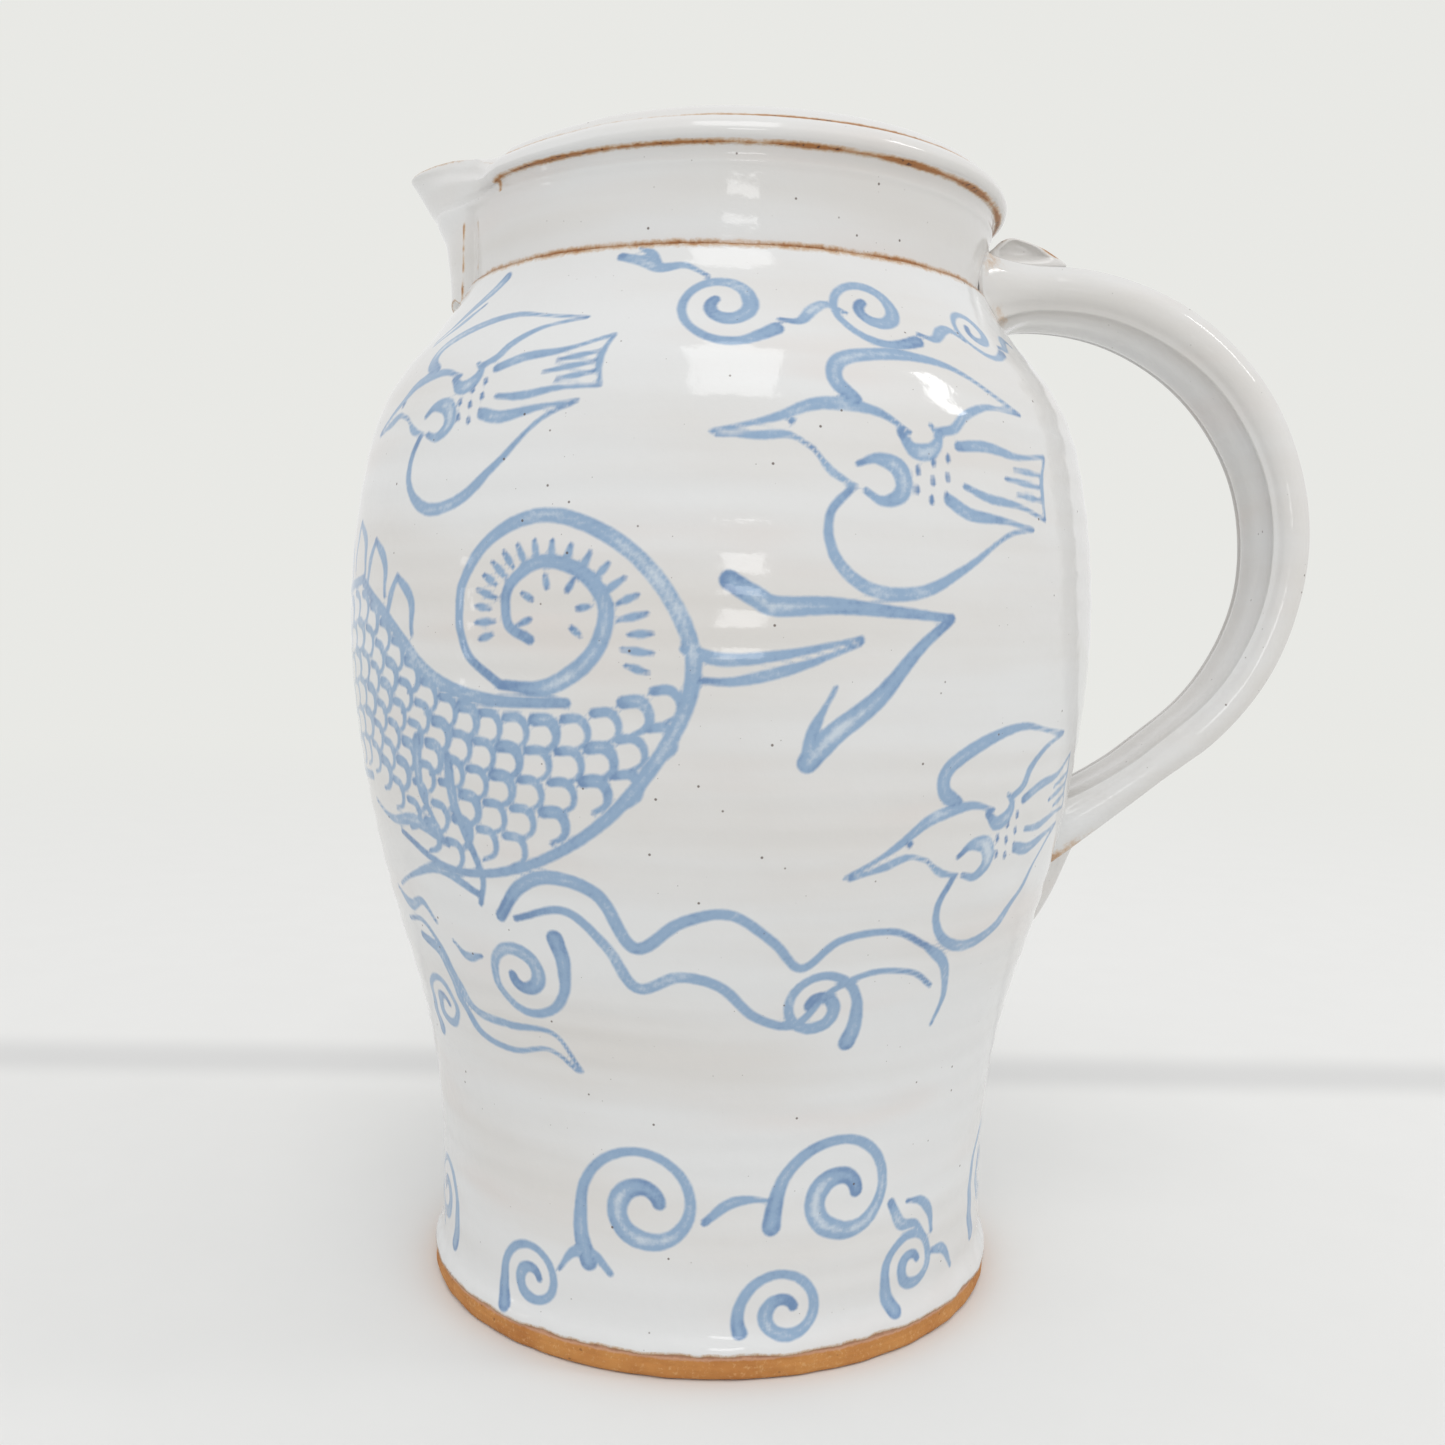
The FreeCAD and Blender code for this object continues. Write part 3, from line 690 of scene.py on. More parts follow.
def make_belly():
    brush = Brushwork(WALL_HEIGHTS, WALL_RADII)
    paint(brush)
    line = evenly(np.column_stack([WALL_RADII, WALL_HEIGHTS]), 0.84)
    radii, heights = line[:, 0], line[:, 1]
    runs = np.interp(heights, brush.heights, brush.runs)
    depth, tone = brush.lay(turns, runs, radii)
    across, up = np.meshgrid(turns, heights)
    near_foot = 1.0 - ease(0.0, 9.0, up - FOOT_TOP)
    drop = 0.26 * wander(across, 0.0, 11, 30) + 0.16 * wander(across, 0.0, 12, 90) + BARE_RISE
    up_shifted = up + near_foot * drop
    pooled = 0.42 * hump(up - FOOT_TOP - 1.6, 1.7)
    radius = np.interp(up, heights, radii) + thrown(across, up) + pooled
    radius = radius + 0.05 * ease(-0.3, 0.7, depth)
    tucked = 1.0 - ease(0.0, 4.5, COLLAR_BOTTOM - up)
    radius = radius + tucked * 0.25
    ring = [round_pot(across, radius, up_shifted).reshape(-1, 3)]
    lip_z = up_shifted[0]
    for inset, lift in ((0.35, -0.12), (0.9, 0.10), (1.6, 0.9)):
        ring.insert(0, round_pot(turns, radius[0] - inset, lip_z + lift))
    top = round_pot(turns, radius[-1] - 1.4, COLLAR_BOTTOM + 0.05)
    points = np.vstack(ring + [top])
    rows = len(heights) + 4
    ink = np.full((rows, COLUMNS), -6.0)
    ink[3:-1] = depth
    shade = np.full((rows, COLUMNS), 0.4)
    wide = ease(1.1, 2.4, depth)
    shade[3:-1] = tone + 0.20 * hump(depth - 0.5, 0.45) - 0.30 * wide
    thin = np.zeros((rows, COLUMNS))
    thin[3:-1] = 0.30 + 0.25 * wander(across, up, 21, 3, 70.0) + 0.25 * hump(up - 150.0, 50.0) - 0.35 * near_foot
    toast = np.zeros((rows, COLUMNS))
    toast[:3] = 0.60
    toast[3:-1] = 0.62 * np.clip(1.0 - (up - FOOT_TOP) / 0.9, 0.0, 1.0)
    toast[-1] = 0.9
    toast[3:-1] += 0.75 * np.clip(1.0 - (COLLAR_BOTTOM - up) / 1.3, 0.0, 1.0) * (
        1.0 - spout_gap(across, 22.0, 24.0)
    )
    values = {"ink": ink, "tone": shade, "thin": thin, "toast": toast}
    build(
        "belly",
        points,
        grid_faces(rows, COLUMNS, True),
        painted_glaze,
        ["body_wall"],
        values,
    )


def spout_gap(turn, low, high):
    """1 in front of the spout and 0 away from it, between those angles in degrees."""
    return 1.0 - ease(math.radians(low), math.radians(high), np.abs(wrapped(turn - SPOUT_TURN)))


def make_inside():
    """The inner wall from the neck down, and a floor with the spiral that the last finger left."""
    columns = 288
    around = np.linspace(-math.pi, math.pi, columns, endpoint=False)
    heights = np.arange(231.5, 26.0, -2.0)
    wall = [(float(pot_radius(z)) - WALL, z) for z in heights]
    curve = spline([wall[-1], (61.0, 20.0), (58.3, 13.6), (52.0, 10.6), (46.0, FLOOR)], 8)[1:]
    floor = [(r, FLOOR) for r in np.arange(44.5, 1.0, -1.2)]
    line = np.array([(BORE + 1.9, 232.6)] + wall + [tuple(p) for p in curve] + floor)
    across, radius = np.meshgrid(around, line[:, 0])
    height = np.broadcast_to(line[:, 1][:, None], radius.shape)
    flat = 1.0 - ease(0.0, 8.0, height - FLOOR)
    swirl = np.sin(radius / 1.9 - across) * ease(2.0, 12.0, radius)
    rings = np.sin(2.0 * math.pi * height / 6.8 - across) * (1.0 - flat)
    radius = radius + 0.30 * rings + 0.2 * wander(across, height, 31, 3, 80.0) * (1.0 - flat)
    lifted = height + flat * (0.32 * swirl - 0.6 * hump(radius, 9.0) + 0.35)
    points, faces = skin(round_pot(across, radius, lifted), end=(0.0, 0.0, FLOOR - 0.25))
    thin = np.append((0.35 + 0.3 * wander(across, height, 32, 3, 60.0)).ravel(), 0.3)
    values = {"thin": thin, "toast": np.zeros(len(points))}
    build("inside", points, faces, white_glaze, ["body_wall"], values)


def make_foot():
    """A bare turned foot with a bevelled edge and a wire-cut underside."""
    columns = 576
    around = np.linspace(-math.pi, math.pi, columns, endpoint=False)
    glaze_edge = FOOT_TOP + BARE_RISE
    rows = [(FOOT_RADIUS - 2.6, glaze_edge + 1.6), (FOOT_RADIUS - 0.9, glaze_edge + 1.2)]
    rows += [(FOOT_RADIUS - 0.35, z) for z in np.arange(glaze_edge + 0.6, 1.3, -0.45)]
    rows += [
        (FOOT_RADIUS - 0.50, 0.95),
        (FOOT_RADIUS - 0.9, 0.45),
        (FOOT_RADIUS - 1.5, 0.12),
        (FOOT_RADIUS - 2.3, 0.0),
    ]
    sides = len(rows)
    rows += [(r, 0.0) for r in np.linspace(FOOT_RADIUS - 3.4, 1.2, 56)]
    line = np.array(rows)
    across, radius = np.meshgrid(around, line[:, 0])
    height = np.array(np.broadcast_to(line[:, 1][:, None], radius.shape))
    x = radius * np.sin(across)
    y = -radius * np.cos(across)
    bow = np.hypot(x + 150.0, y - 46.0)
    drag = 0.5 + 0.5 * np.sin(bow * 2.0 * math.pi / 4.6 + 1.2 * np.sin(bow / 9.0))
    under = np.arange(len(line)) >= sides
    height[under] += (0.28 * drag * ease(0.0, 4.0, FOOT_RADIUS - 3.2 - radius))[under]
    chatter = 0.10 * np.sin(height * 5.2 + 0.6 * wander(across, height, 41, 4, 9.0)) + 0.09 * wander(
        across, height, 42, 60, 4.0
    )
    radius = radius + np.where(under[:, None], 0.0, chatter)
    points, faces = skin(round_pot(across, radius, height), end=(0.0, 0.0, 0.1), flip=True)
    fringe = np.append(np.clip(1.0 - (glaze_edge - 0.4 - height) / 1.3, 0.0, 1.0).ravel(), 0.0)
    fringe = np.where(np.append(under.repeat(columns), True), 0.0, fringe)
    build("foot_ring", points, faces, bare_clay, ["foot"], {"fringe": fringe})


# ------------------------------------------------------------------ collar, rim and spout

# One row per key point up the outside, over the rim and down the bore:
# radius and height all round, radius and height at the spout's nose,
# half width of the nose in degrees, its sharpness, the shift in radius and height
# that the spout's cheeks have from the rim, and steps to the next key.
R, N, Z = RIM_RADIUS, SPOUT_TIP, RIM_TOP
HEAD_KEYS = [
    (R - 7.6, Z - 30.6, R - 6.8, Z - 33.6, 21.5, 6.0, 0.0, 0.0, 9),
    (R - 5.9, Z - 29.7, N - 11.0, Z - 32.2, 21.5, 6.0, 0.0, 0.0, 10),
    (R - 5.6, Z - 24.0, N - 10.9, Z - 26.5, 23.0, 4.5, 0.0, 0.0, 12),
    (R - 5.0, Z - 17.5, N - 9.9, Z - 18.0, 23.5, 3.6, 0.0, 0.0, 14),
    (R - 4.2, Z - 11.6, N - 7.7, Z - 12.6, 21.0, 2.8, 0.3, -1.6, 4),
    (R - 3.9, Z - 10.4, N - 6.9, Z - 10.8, 18.0, 2.5, 0.3, -1.8, 4),
    (R - 3.0, Z - 10.1, N - 6.2, Z - 9.8, 16.5, 2.3, -0.1, -0.9, 6),
    (R - 1.6, Z - 9.0, N - 5.1, Z - 8.2, 15.0, 2.1, -0.7, -0.2, 8),
    (R - 1.1, Z - 7.6, N - 2.8, Z - 4.4, 13.6, 1.8, -0.3, 1.5, 8),
    (R - 1.3, Z - 6.4, N - 1.2, Z - 1.8, 13.0, 1.8, -0.7, 2.9, 7),
    (R - 2.1, Z - 4.9, N - 0.4, Z - 0.6, 12.9, 1.9, 0.1, 3.1, 5),
    (R - 3.8, Z - 3.6, N - 0.6, Z - 0.2, 12.9, 1.9, 1.4, 3.3, 5),
    (R - 5.7, Z - 1.6, N - 1.5, Z - 0.1, 12.6, 1.9, 2.5, 1.4, 4),
    (R - 9.2, Z - 0.0, N - 2.5, Z - 0.4, 12.2, 1.9, 5.0, -0.1, 4),
    (R - 10.7, Z - 0.9, N - 3.5, Z - 1.5, 11.4, 1.6, 5.4, -0.4, 5),
    (BORE + 0.1, Z - 3.5, N - 5.2, Z - 3.6, 11.2, 1.7, 4.6, -0.5, 6),
    (BORE, Z - 8.0, N - 8.4, Z - 8.0, 11.0, 1.9, 3.2, 0.0, 6),
    (BORE, Z - 15.0, N - 13.4, Z - 14.0, 10.5, 2.3, 1.4, 0.0, 6),
    (BORE, Z - 22.0, N - 18.4, Z - 21.0, 10.0, 3.0, 0.3, 0.0, 6),
    (BORE, Z - 28.0, BORE + 0.2, Z - 28.0, 10.0, 3.0, 0.0, 0.0, 5),
    (BORE + 2.2, Z - 34.0, BORE + 2.2, Z - 34.0, 10.0, 3.0, 0.0, 0.0, 1),
]
# Degrees from the nose, and how far the lip lies under the rim's full height there.
LIP_DIP = (
    (0.0, 12.0, 19.0, 25.0, 30.0, 34.0, 37.0, 39.0, 42.0, 46.0, 52.0, 60.0, 66.0, 75.0, 86.0, 122.0, 180.0),
    (0.0, -0.4, -1.4, -2.8, -4.2, -5.0, -4.5, -3.4, -2.8, -2.7, -2.4, -2.0, -1.4, -1.0, -0.6, -0.2, 0.0),
)
# The same for the turned edge under the rim, where it runs out on to the spout.
EDGE_DIP = (
    (0.0, 34.0, 38.5, 41.0, 52.0, 70.0, 90.0, 180.0),
    (0.0, -0.6, -1.3, -0.6, -0.4, -0.3, -0.15, 0.0),
)
# Height, and how many degrees from the nose the edge of the spout's sheet of clay lies there.
SHEET_EDGE = ((Z - 30.0, Z - 14.5), (19.0, 23.4))
SHARP = (1, 5, 6, 11)
COLLAR_LINE, COLLAR_TOP, RIM_LINE, LIP_LINE = 1, 5, 6, 11


def keyed_line(keys):
    """Smooth rows through the keys, with corners left at the sharp ones, and each key's row."""
    keys = np.array(keys, float)
    rows, at = [], [0]
    start = 0
    for stop in list(SHARP) + [len(keys) - 1]:
        span = keys[start : stop + 1]
        padded = np.vstack([2 * span[0] - span[1], span, 2 * span[-1] - span[-2]])
        for i in range(1, len(padded) - 2):
            a, b, c, d = padded[i - 1 : i + 3]
            count = int(b[-1])
            for t in np.arange(count) / count:
                rows.append(
                    b + 0.5 * t * (c - a + t * (2 * a - 5 * b + 4 * c - d + t * (3 * (b - c) + d - a)))
                )
            at.append(at[-1] + count)
        start = stop
    rows.append(keys[-1])
    return np.array(rows), at


def make_head():
    columns = 900
    lean = np.linspace(-1.0, 1.0, columns, endpoint=False)
    around = SPOUT_TURN + math.pi * (0.55 * lean + 0.45 * lean**3)
    line, at = keyed_line(HEAD_KEYS)
    off = np.degrees(wrapped(around - SPOUT_TURN))[None, :]
    base_r, base_z, nose_r, nose_z, half, power, cheek_r, cheek_z = [line[:, k][:, None] for k in range(8)]
    share = np.exp(-((np.sqrt(off**2 + 1.8) / half) ** power))
    share = share / np.exp(-((math.sqrt(1.8) / half) ** power))
    rows = np.arange(len(line))[:, None]
    edge = np.interp(base_z, *SHEET_EDGE)
    applied = 1.0 - ease(at[3] + 6, at[4] + 2, rows)
    share = share * (1.0 - applied * ease(edge + 0.2, edge + 3.6, np.abs(off)))
    cheek = 1.0 - ease(31.0, 40.0, np.abs(off))
    lip = ease(at[RIM_LINE], at[RIM_LINE + 2], rows) * (1.0 - ease(at[14], at[17], rows))
    base_r = base_r + cheek * cheek_r - 0.5 * hump(np.abs(off) - 26.0, 7.0) * lip
    lip_dip = np.interp(np.abs(off), LIP_DIP[0], LIP_DIP[1])
    over_arris = ease(at[4], at[9], rows) * (1.0 - ease(at[15], at[18], rows))
    near_arris = ease(at[3] + 6, at[4], rows) * (1.0 - ease(at[RIM_LINE], at[8], rows))
    base_z = base_z + cheek * cheek_z + over_arris * lip_dip
    base_z = base_z + near_arris * np.interp(np.abs(off), EDGE_DIP[0], EDGE_DIP[1])
    radius = base_r + share * (nose_r - base_r)
    height = base_z + share * (nose_z - base_z)
    height = height - 2.6 * hump(np.abs(off) - 19.5, 3.0) * (1.0 - ease(at[1], at[1] + 8, rows))
    across = np.broadcast_to(around[None, :], radius.shape)
    radius = radius + 0.16 * wander(across, height, 51, 4, 30.0) - 0.12
    radius = radius + 0.03 * np.sin(2.0 * math.pi * height / 7.5 + across) * (rows < at[4])
    radius = radius + 0.28 * hump(height - (Z - 13.6), 0.75) * (rows < at[4]) * ease(34.0, 42.0, np.abs(off))
    uneven = 0.25 * (wander(across, 0.0, 52, 3) - 1.0) - 0.35 * (1.0 + np.sin(across))
    height = height + uneven * ease(Z - 12.0, Z - 3.0, height)
    height = np.minimum(height, Z)
    joint = ease(at[1] - 2, at[1] + 2, rows) * (1.0 - ease(at[3], at[3] + 5, rows))
    seam = hump(np.abs(off) - edge, 0.50) * joint
    second_seam = hump(np.abs(off) - edge - 3.9, 0.45) * joint
    radius = radius + 0.12 * seam - 0.15 * second_seam
    points = round_pot(across, radius, height).reshape(-1, 3)

    step = np.linalg.norm(np.diff(np.stack([radius, height]), axis=1), axis=0)
    run = np.vstack([np.zeros(columns), np.cumsum(step, axis=0)])

    def line_at(key, width, strength):
        away = np.abs(run - run[at[key]][None, :])
        return strength * np.clip(1.0 - away / width, 0.0, 1.0)

    patchy = 0.85 + 0.30 * wander(across, 0.0, 53, 24)
    beyond_spout = ease(38.0, 39.5, np.abs(off))
    hook = hump(np.abs(off) - 39.2, 0.6) * (rows > at[4] - 5) * (rows < at[RIM_LINE])
    toast = line_at(COLLAR_LINE, 1.5, 1.0) * ease(22.4, 24.0, np.abs(off)) * patchy
    toast = np.maximum(toast, line_at(RIM_LINE, 1.40, 1.05) * beyond_spout * patchy)
    toast = np.maximum(toast, 0.7 * hook)
    toast = np.maximum(
        toast,
        line_at(LIP_LINE, 0.75, 0.78) * (0.80 + 0.4 * wander(across, 0.0, 54, 9)) * (
            1.0 - 0.85 * hump(np.abs(off) - 31.0, 8.0)
        ),
    )
    broken = 0.75 + 0.4 * wander(across, height * 6.0, 55, 2, 40.0)
    toast = np.maximum(toast, (0.66 * seam + 0.34 * second_seam) * broken)
    bottom = hump(run - run[at[1]][None, :], 0.26) * (np.abs(off) < 21.0)
    toast = np.maximum(toast, 0.72 * bottom)
    thin = 0.55 + 0.2 * wander(across, height, 56, 3, 40.0)
    values = {"thin": thin, "toast": np.clip(toast, 0.0, 1.1)}

    faces = grid_faces(len(line), columns, True)
    normals = mesh_normals(points, faces)
    row = faces[:, 0] // columns
    angle = np.abs(off[0][faces[:, 0] % columns])
    in_spout = angle < 39.0
    in_spout &= row < at[19]
    narrow = row < at[4]
    in_spout &= ~narrow | (angle < 28.0)
    pieces = {
        "spout": ("spout_beak", in_spout),
        "collar": ("collar_band", ~in_spout & (row < at[COLLAR_TOP])),
        "rim": ("rim_roll", ~in_spout & (row >= at[COLLAR_TOP])),
    }
    for node, (name, keep) in pieces.items():
        cut, quads, kept, own = cut_out(points, faces, keep, values, normals)
        build(name, cut, quads, white_glaze, [node], kept, own)


# ------------------------------------------------------------------ handle, thumb rest and tail

ROOT_HEIGHT = 239.0
BEND_X = 77.0
BEND_RADIUS = 60.0
BEND_Z = ROOT_HEIGHT - BEND_RADIUS
BEND_END = -50.0
STRAP_COLUMNS = 120


def strap_section(width, thickness):
    """Outline of the pulled strap: a shallow valley and two fine beads outside, a ridged edge inside."""
    t = np.linspace(0.0, 2.0 * math.pi, STRAP_COLUMNS, endpoint=False)
    c, s = np.cos(t), np.sin(t)
    u = 0.5 * width * np.sign(c) * np.abs(c) ** 0.72
    w = 0.5 * thickness * np.sign(s) * np.abs(s) ** 0.80
    share = np.abs(u) / (0.5 * width)
    outer = ease(-0.1, 0.5, s)
    inner = ease(-0.1, 0.5, -s)
    w = w - outer * 1.25 * hump(share, 0.48)
    w = w + outer * 0.50 * hump(share - 0.82, 0.05) - outer * 0.40 * hump(share - 0.71, 0.05)
    w = w + inner * 1.10 * hump(share, 0.60)
    w = w - inner * 0.85 * hump(share - 0.86, 0.040) + inner * 0.55 * hump(share - 0.76, 0.045)
    u = u * (1.0 + 0.020 * hump(w / thickness - 0.02, 0.20) - 0.016 * hump(w / thickness + 0.30, 0.06))
    return u, w


def outward_hit(start, way):
    """Where lines from outside first meet the turned pot, by halving."""
    low = np.zeros(len(start))
    high = np.full(len(start), 60.0)
    for _ in range(40):
        middle = 0.5 * (low + high)
        p = start + way * middle[:, None]
        outside = np.hypot(p[:, 0], p[:, 1]) > pot_radius(p[:, 2])
        low = np.where(outside, middle, low)
        high = np.where(outside, high, middle)
    return start + way * low[:, None]


def frame_at(angle):
    """The strap's own directions where its line is that many degrees round the bend: outwards and onwards."""
    a = math.radians(angle)
    return np.array([math.cos(a), 0.0, math.sin(a)]), np.array([math.sin(a), 0.0, -math.cos(a)])


def strap_ring(middle, out, width, thickness):
    u, w = strap_section(width, thickness)
    return np.asarray(middle) + np.outer(u, (0.0, 1.0, 0.0)) + np.outer(w, out)


def fillet(ring, middle, way, out, lead, spread, lift, count):
    """Rings that leave the strap's last ring and flare on to the pot, tangent to both."""
    offset = ring - middle
    u = offset[:, 1]
    w = offset @ out
    flare_u, flare_w = spread
    rows = []
    lands = []
    for grow in (0.55, 1.0):
        start = (
            middle
            + np.outer(u * (1.0 + (flare_u - 1.0) * grow), (0.0, 1.0, 0.0))
            + np.outer(w * (1.0 + (flare_w - 1.0) * grow) + lift * grow, out)
        )
        lands.append(outward_hit(start - way * 2.0, way))
    inner, outer = lands
    first = ring + way * lead
    for t in np.linspace(0.0, 1.0, count + 1)[1:]:
        a, b, c, d = (1 - t) ** 3, 3 * t * (1 - t) ** 2, 3 * t * t * (1 - t), t**3
        rows.append(a * ring + b * first + c * (inner * 0.6 + outer * 0.4) + d * outer)
    sink = outer - np.column_stack([outer[:, 0], outer[:, 1], np.zeros(len(outer))]) * 0.012
    rows.append(sink)
    return rows


def make_handle():
    rings = []
    out, way = frame_at(90.0)
    top_start = np.array([BEND_X - 2.0, 0.0, ROOT_HEIGHT])
    first = strap_ring(top_start, out, 31.5, 13.8)
    rings += fillet(first, top_start, -way, out, 4.5, (1.42, 1.55), -1.2, 12)[::-1]
    rings.append(first)
    length = math.radians(90.0 - BEND_END) * BEND_RADIUS
    steps = 150
    for k in range(steps + 1):
        s = k / steps
        angle = 90.0 + (BEND_END - 90.0) * s
        out, way = frame_at(angle)
        middle = np.array([BEND_X, 0.0, BEND_Z]) + out * BEND_RADIUS
        width = 31.0 - 5.0 * ease(0.0, 0.95, s) + 0.25 * math.sin(s * 23.0)
        thickness = 13.6 - 2.4 * ease(0.0, 0.85, s) + 0.12 * math.sin(s * 31.0 + 1.0)
        rings.append(strap_ring(middle, out, width, thickness))
    end = middle
    reach = 1.6
    for k in range(1, 9):
        thinner = 1.0 * k / 8.0
        last_middle = end + way * reach * k - out * 0.5 * thinner
        rings.append(strap_ring(last_middle, out, 26.0 + 0.1 * k, 11.2 - thinner))
    rings += fillet(rings[-1], last_middle, way, out, 6.0, (1.06, 1.30), -2.65, 12)
    points = np.array(rings)
    rows = len(points)
    column = np.linspace(0.0, 2.0 * math.pi, STRAP_COLUMNS, endpoint=False)[None, :]
    row = np.arange(rows)[:, None]
    root = hump(row - 3.0, 3.0)
    foot_joint = hump(row - (rows - 4.0), 3.0)
    toast = 0.34 * root * (0.55 + 0.5 * np.sin(column * 5.0 + 1.0)) + 0.62 * foot_joint * ease(
        0.1, 0.7, np.sin(column)
    )
    thin = 0.62 + 0.25 * np.sin(column * 2.0 + row / 40.0) + 0.0 * row
    values = {"thin": thin, "toast": np.clip(toast, 0.0, 1.0)}
    faces = grid_faces(rows, STRAP_COLUMNS, True)
    build("handle_strap", points.reshape(-1, 3), faces, white_glaze, ["handle"], values)
    return length


# Outline of the folded thumb rest as seen along the strap's width: x and z in mm, round from its lower left.
THUMB_OUTLINE = [
    (61.6, 244.6),
    (62.0, 247.6),
    (63.6, 249.2),
    (65.4, 250.9),
    (67.9, 251.7),
    (71.6, 250.8),
    (75.6, 249.2),
    (79.0, 246.9),
    (81.0, 244.7),
    (76.0, 243.6),
    (68.0, 243.6),
]
# How far in from the end of the fold, and the size its outline has there: a hollow, then a rounded brim.
THUMB_END = [
    (1.7, 0.12),
    (1.6, 0.30),
    (1.3, 0.44),
    (0.7, 0.55),
    (0.25, 0.61),
    (0.05, 0.67),
    (0.05, 0.78),
    (0.35, 0.91),
    (1.0, 0.98),
    (2.2, 1.0),
]


def make_thumb_rest():
    """A strip of clay folded over on the strap's root, open at both ends like an eyelid."""
    half_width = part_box("thumb_rest")[1].y / MM - 0.2
    outline = spline(THUMB_OUTLINE + THUMB_OUTLINE[:1], 8)[:-1]
    middle = np.array([68.6, 248.2])
    ends = spline(THUMB_END, 3)
    places = [(-half_width + inset, size) for inset, size in ends]
    places += [(y, 1.0) for y in np.linspace(-half_width + 2.8, half_width - 2.8, 24)]
    places += [(half_width - inset, size) for inset, size in ends[::-1]]
    rings = []
    for y, size in places:
        narrow = 1.0 - 0.05 * (y / half_width) ** 2
        ring = middle + (outline - middle) * size * np.array([1.0, narrow])
        ring += (1.0 - size) * np.array([0.6, 1.5])
        ring[:, 1] += 0.25 * math.sin(y * 0.55)
        spread = y * (1.0 + 0.16 * (1.0 - ease(244.0, 248.8, ring[:, 1])))
        rings.append(np.column_stack([ring[:, 0], spread, ring[:, 1]]))
    rings = np.array(rings)
    points, faces = skin(rings, start=rings[0].mean(axis=0), end=rings[-1].mean(axis=0), flip=True)
    brim = np.array([float(hump(size - 0.90, 0.09)) * (abs(y) > half_width - 2.0) for y, size in places])
    right = ease(73.0, 78.0, rings[:, :, 0])
    upper = ease(246.2, 247.6, rings[:, :, 2])
    toast = upper * (brim[:, None] * (0.18 + 0.75 * right) + 0.25 * right)
    values = {"toast": np.append(toast.ravel(), (0.0, 0.0)), "thin": np.full(len(points), 0.75)}
    build("thumb_pad", points, faces, white_glaze, ["thumb_rest"], values)


# Height, half width and thickness of the pressed end of the strap, from under the strap down to its point.
TAIL_KEYS = [
    (114.0, 11.4, 8.4),
    (108.5, 11.0, 8.0),
    (104.0, 10.2, 7.0),
    (99.0, 8.8, 6.3),
    (94.5, 7.2, 5.7),
    (90.0, 5.4, 4.8),
    (86.5, 3.9, 3.8),
    (84.0, 2.5, 2.5),
    (82.3, 1.0, 0.9),
]


def make_tail():
    """The end of the strap, pressed down the belly with a thumb to a point."""
    line = evenly(spline(TAIL_KEYS, 8), 0.45)
    z, half, thick = (line[:, k][:, None] for k in range(3))
    s = np.linspace(0.0, 1.0, len(line))[:, None]
    t = np.linspace(-1.10, 1.10, 60)[None, :]
    rise = np.maximum(1.0 - np.abs(t) ** 2.6, -0.35)
    press = 1.1 * hump(t, 0.30) * np.sin(math.pi * np.clip(s * 1.15, 0.0, 1.0))
    ridges = (0.55 * hump(np.abs(t) - 0.60, 0.13) - 0.35 * hump(np.abs(t) - 0.80, 0.07)) * (1.0 - s)
    radius = pot_radius(z) + thick * rise - press + ridges - 0.2
    points = round_pot(HANDLE_TURN + half * t / radius, radius, z + 0.0 * t)
    tip = 0.85 * hump(s - 0.97, 0.035) * hump(t, 0.8)
    brim = 0.50 * hump(np.abs(t) - 1.0, 0.07) * (1.0 - 0.4 * s)
    crease = 0.70 * hump(z - 108.0, 1.3) * hump(t, 0.9)
    values = {"toast": np.maximum(np.maximum(tip, brim), crease), "thin": np.full(radius.shape, 0.75)}
    faces = grid_faces(len(line), t.size, False)[:, ::-1]
    build("pressed_tail", points.reshape(-1, 3), faces, white_glaze, ["handle_tail"], values)


# ------------------------------------------------------------------ the set


def make_camera():
    """At the photograph's place, close in and a little below the shoulder."""
    data = bpy.data.cameras.new("camera")
    data.sensor_width = 36.0
    data.lens = 35.4
    data.clip_start = 0.01
    data.clip_end = 50.0
    camera = into_scene("camera", data)
    camera.location = (0.0, -0.3560, 0.1594)
    pitch, yaw, roll = 0.0718, 0.0023, 0.0182
    ahead = Vector((math.sin(yaw) * math.cos(pitch), math.cos(yaw) * math.cos(pitch), -math.sin(pitch)))
    level = ahead.to_track_quat("-Z", "Y").to_matrix().to_4x4()
    camera.rotation_mode = "QUATERNION"
    camera.rotation_quaternion = (level @ Matrix.Rotation(roll, 4, "Z")).to_quaternion()
    bpy.context.scene.camera = camera


def lamp(name, azimuth, elevation, distance, width, height, power):
    """A soft rectangular light that faces the pot."""
    data = bpy.data.lights.new(name, "AREA")
    data.shape = "RECTANGLE"
    data.size = width
    data.size_y = height
    data.energy = power
    light = into_scene(name, data)
    a, e = math.radians(azimuth), math.radians(elevation)
    way = Vector((math.sin(a) * math.cos(e), -math.cos(a) * math.cos(e), math.sin(e)))
    light.location = Vector((0.0, 0.0, 0.15)) + way * distance
    light.rotation_mode = "QUATERNION"
    light.rotation_quaternion = way.to_track_quat("Z", "Y")


BACKDROP = (0.812, 0.814, 0.785, 1.0)


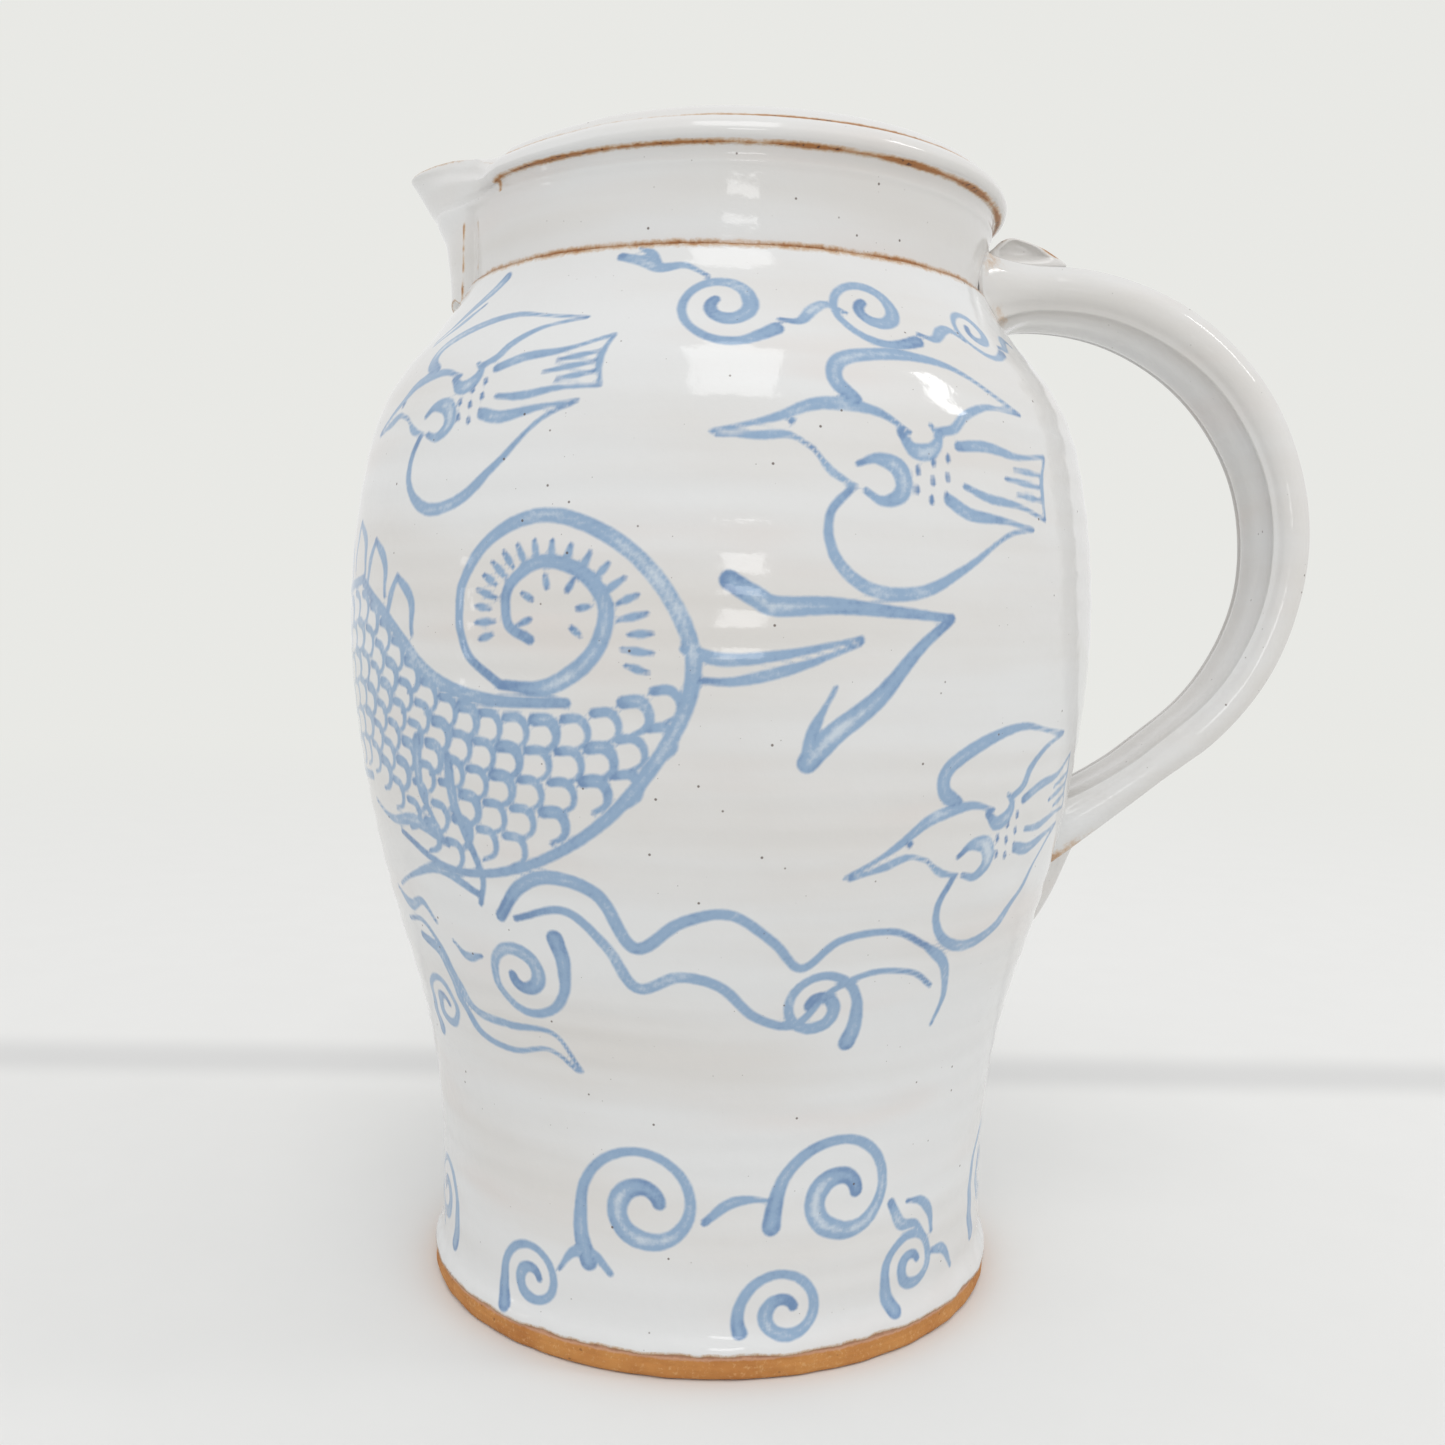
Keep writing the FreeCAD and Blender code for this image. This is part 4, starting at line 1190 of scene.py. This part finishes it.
def make_floor():
    """A pale table that fades into the backdrop, with a painted soft shadow band along the line where a wall
    behind it began.
    """
    s = Shader("floor_paint")
    place = s.add("SeparateXYZ", output=1, Vector=s.place)
    edge = s.maths("ADD", place, s.maths("MULTIPLY", s.noise(3.0), 0.004))
    # Painted shade: a soft grey band across the table, a little behind the pot, stands for the shadow where
    # table and wall met.
    shade = s.maths("MULTIPLY", s.step(0.118, 0.142, edge), s.step(0.175, 0.146, edge))
    mottled = s.mix(s.noise(40.0, 3.0), (0.790, 0.790, 0.780, 1.0), (0.810, 0.810, 0.800, 1.0))
    # The painted shadow band darkens the table's own colour towards grey.
    colour = s.mix(s.maths("MULTIPLY", shade, 0.62), mottled, (0.62, 0.62, 0.62, 1.0))
    reach = s.add("VectorMath", {"operation": "LENGTH"}, output="Value", i0=s.place)
    far = s.step(0.30, 1.60, reach)
    lit = s.mix(far, colour, (0.0, 0.0, 0.0, 1.0))
    glow = s.mix(far, (0.0, 0.0, 0.0, 1.0), BACKDROP)
    material = s.finish(
        Base_Color=lit, Emission_Color=glow, Emission_Strength=1.0, Roughness=1.0, Specular_IOR_Level=0.0
    )
    mesh = bpy.data.meshes.new("floor")
    half = 6.0
    mesh.from_pydata(
        [(-half, -half, 0), (half, -half, 0), (half, half, 0), (-half, half, 0)], [], [(0, 1, 2, 3)]
    )
    mesh.materials.append(material)
    floor = into_scene("floor", mesh)


def make_world():
    world = bpy.data.worlds.new("studio")
    bpy.context.scene.world = world
    world.use_nodes = True
    tree = world.node_tree
    tree.nodes.clear()
    output = tree.nodes.new("ShaderNodeOutputWorld")
    path = tree.nodes.new("ShaderNodeLightPath")
    seen = tree.nodes.new("ShaderNodeBackground")
    lit = tree.nodes.new("ShaderNodeBackground")
    choose = tree.nodes.new("ShaderNodeMixShader")
    seen.inputs["Color"].default_value = BACKDROP
    lit.inputs["Color"].default_value = (1.0, 1.0, 0.995, 1.0)
    lit.inputs["Strength"].default_value = 0.86
    tree.links.new(path.outputs["Is Camera Ray"], choose.inputs[0])
    tree.links.new(lit.outputs[0], choose.inputs[1])
    tree.links.new(seen.outputs[0], choose.inputs[2])
    tree.links.new(choose.outputs[0], output.inputs["Surface"])


make_camera()
make_belly()
make_inside()
make_foot()
make_head()
make_handle()
make_thumb_rest()
make_tail()
make_floor()
make_world()
lamp("window_high", 4.0, 58.0, 5.7, 2.25, 3.45, 58.0)
lamp("window_low", 6.0, 6.0, 1.9, 0.42, 0.30, 1.3)
lamp("window_right", 82.0, 40.0, 1.9, 0.22, 0.60, 2.5)
lamp("window_left", -78.0, -3.0, 1.9, 0.10, 0.50, 0.35)
bpy.context.scene.view_settings.view_transform = "Standard"
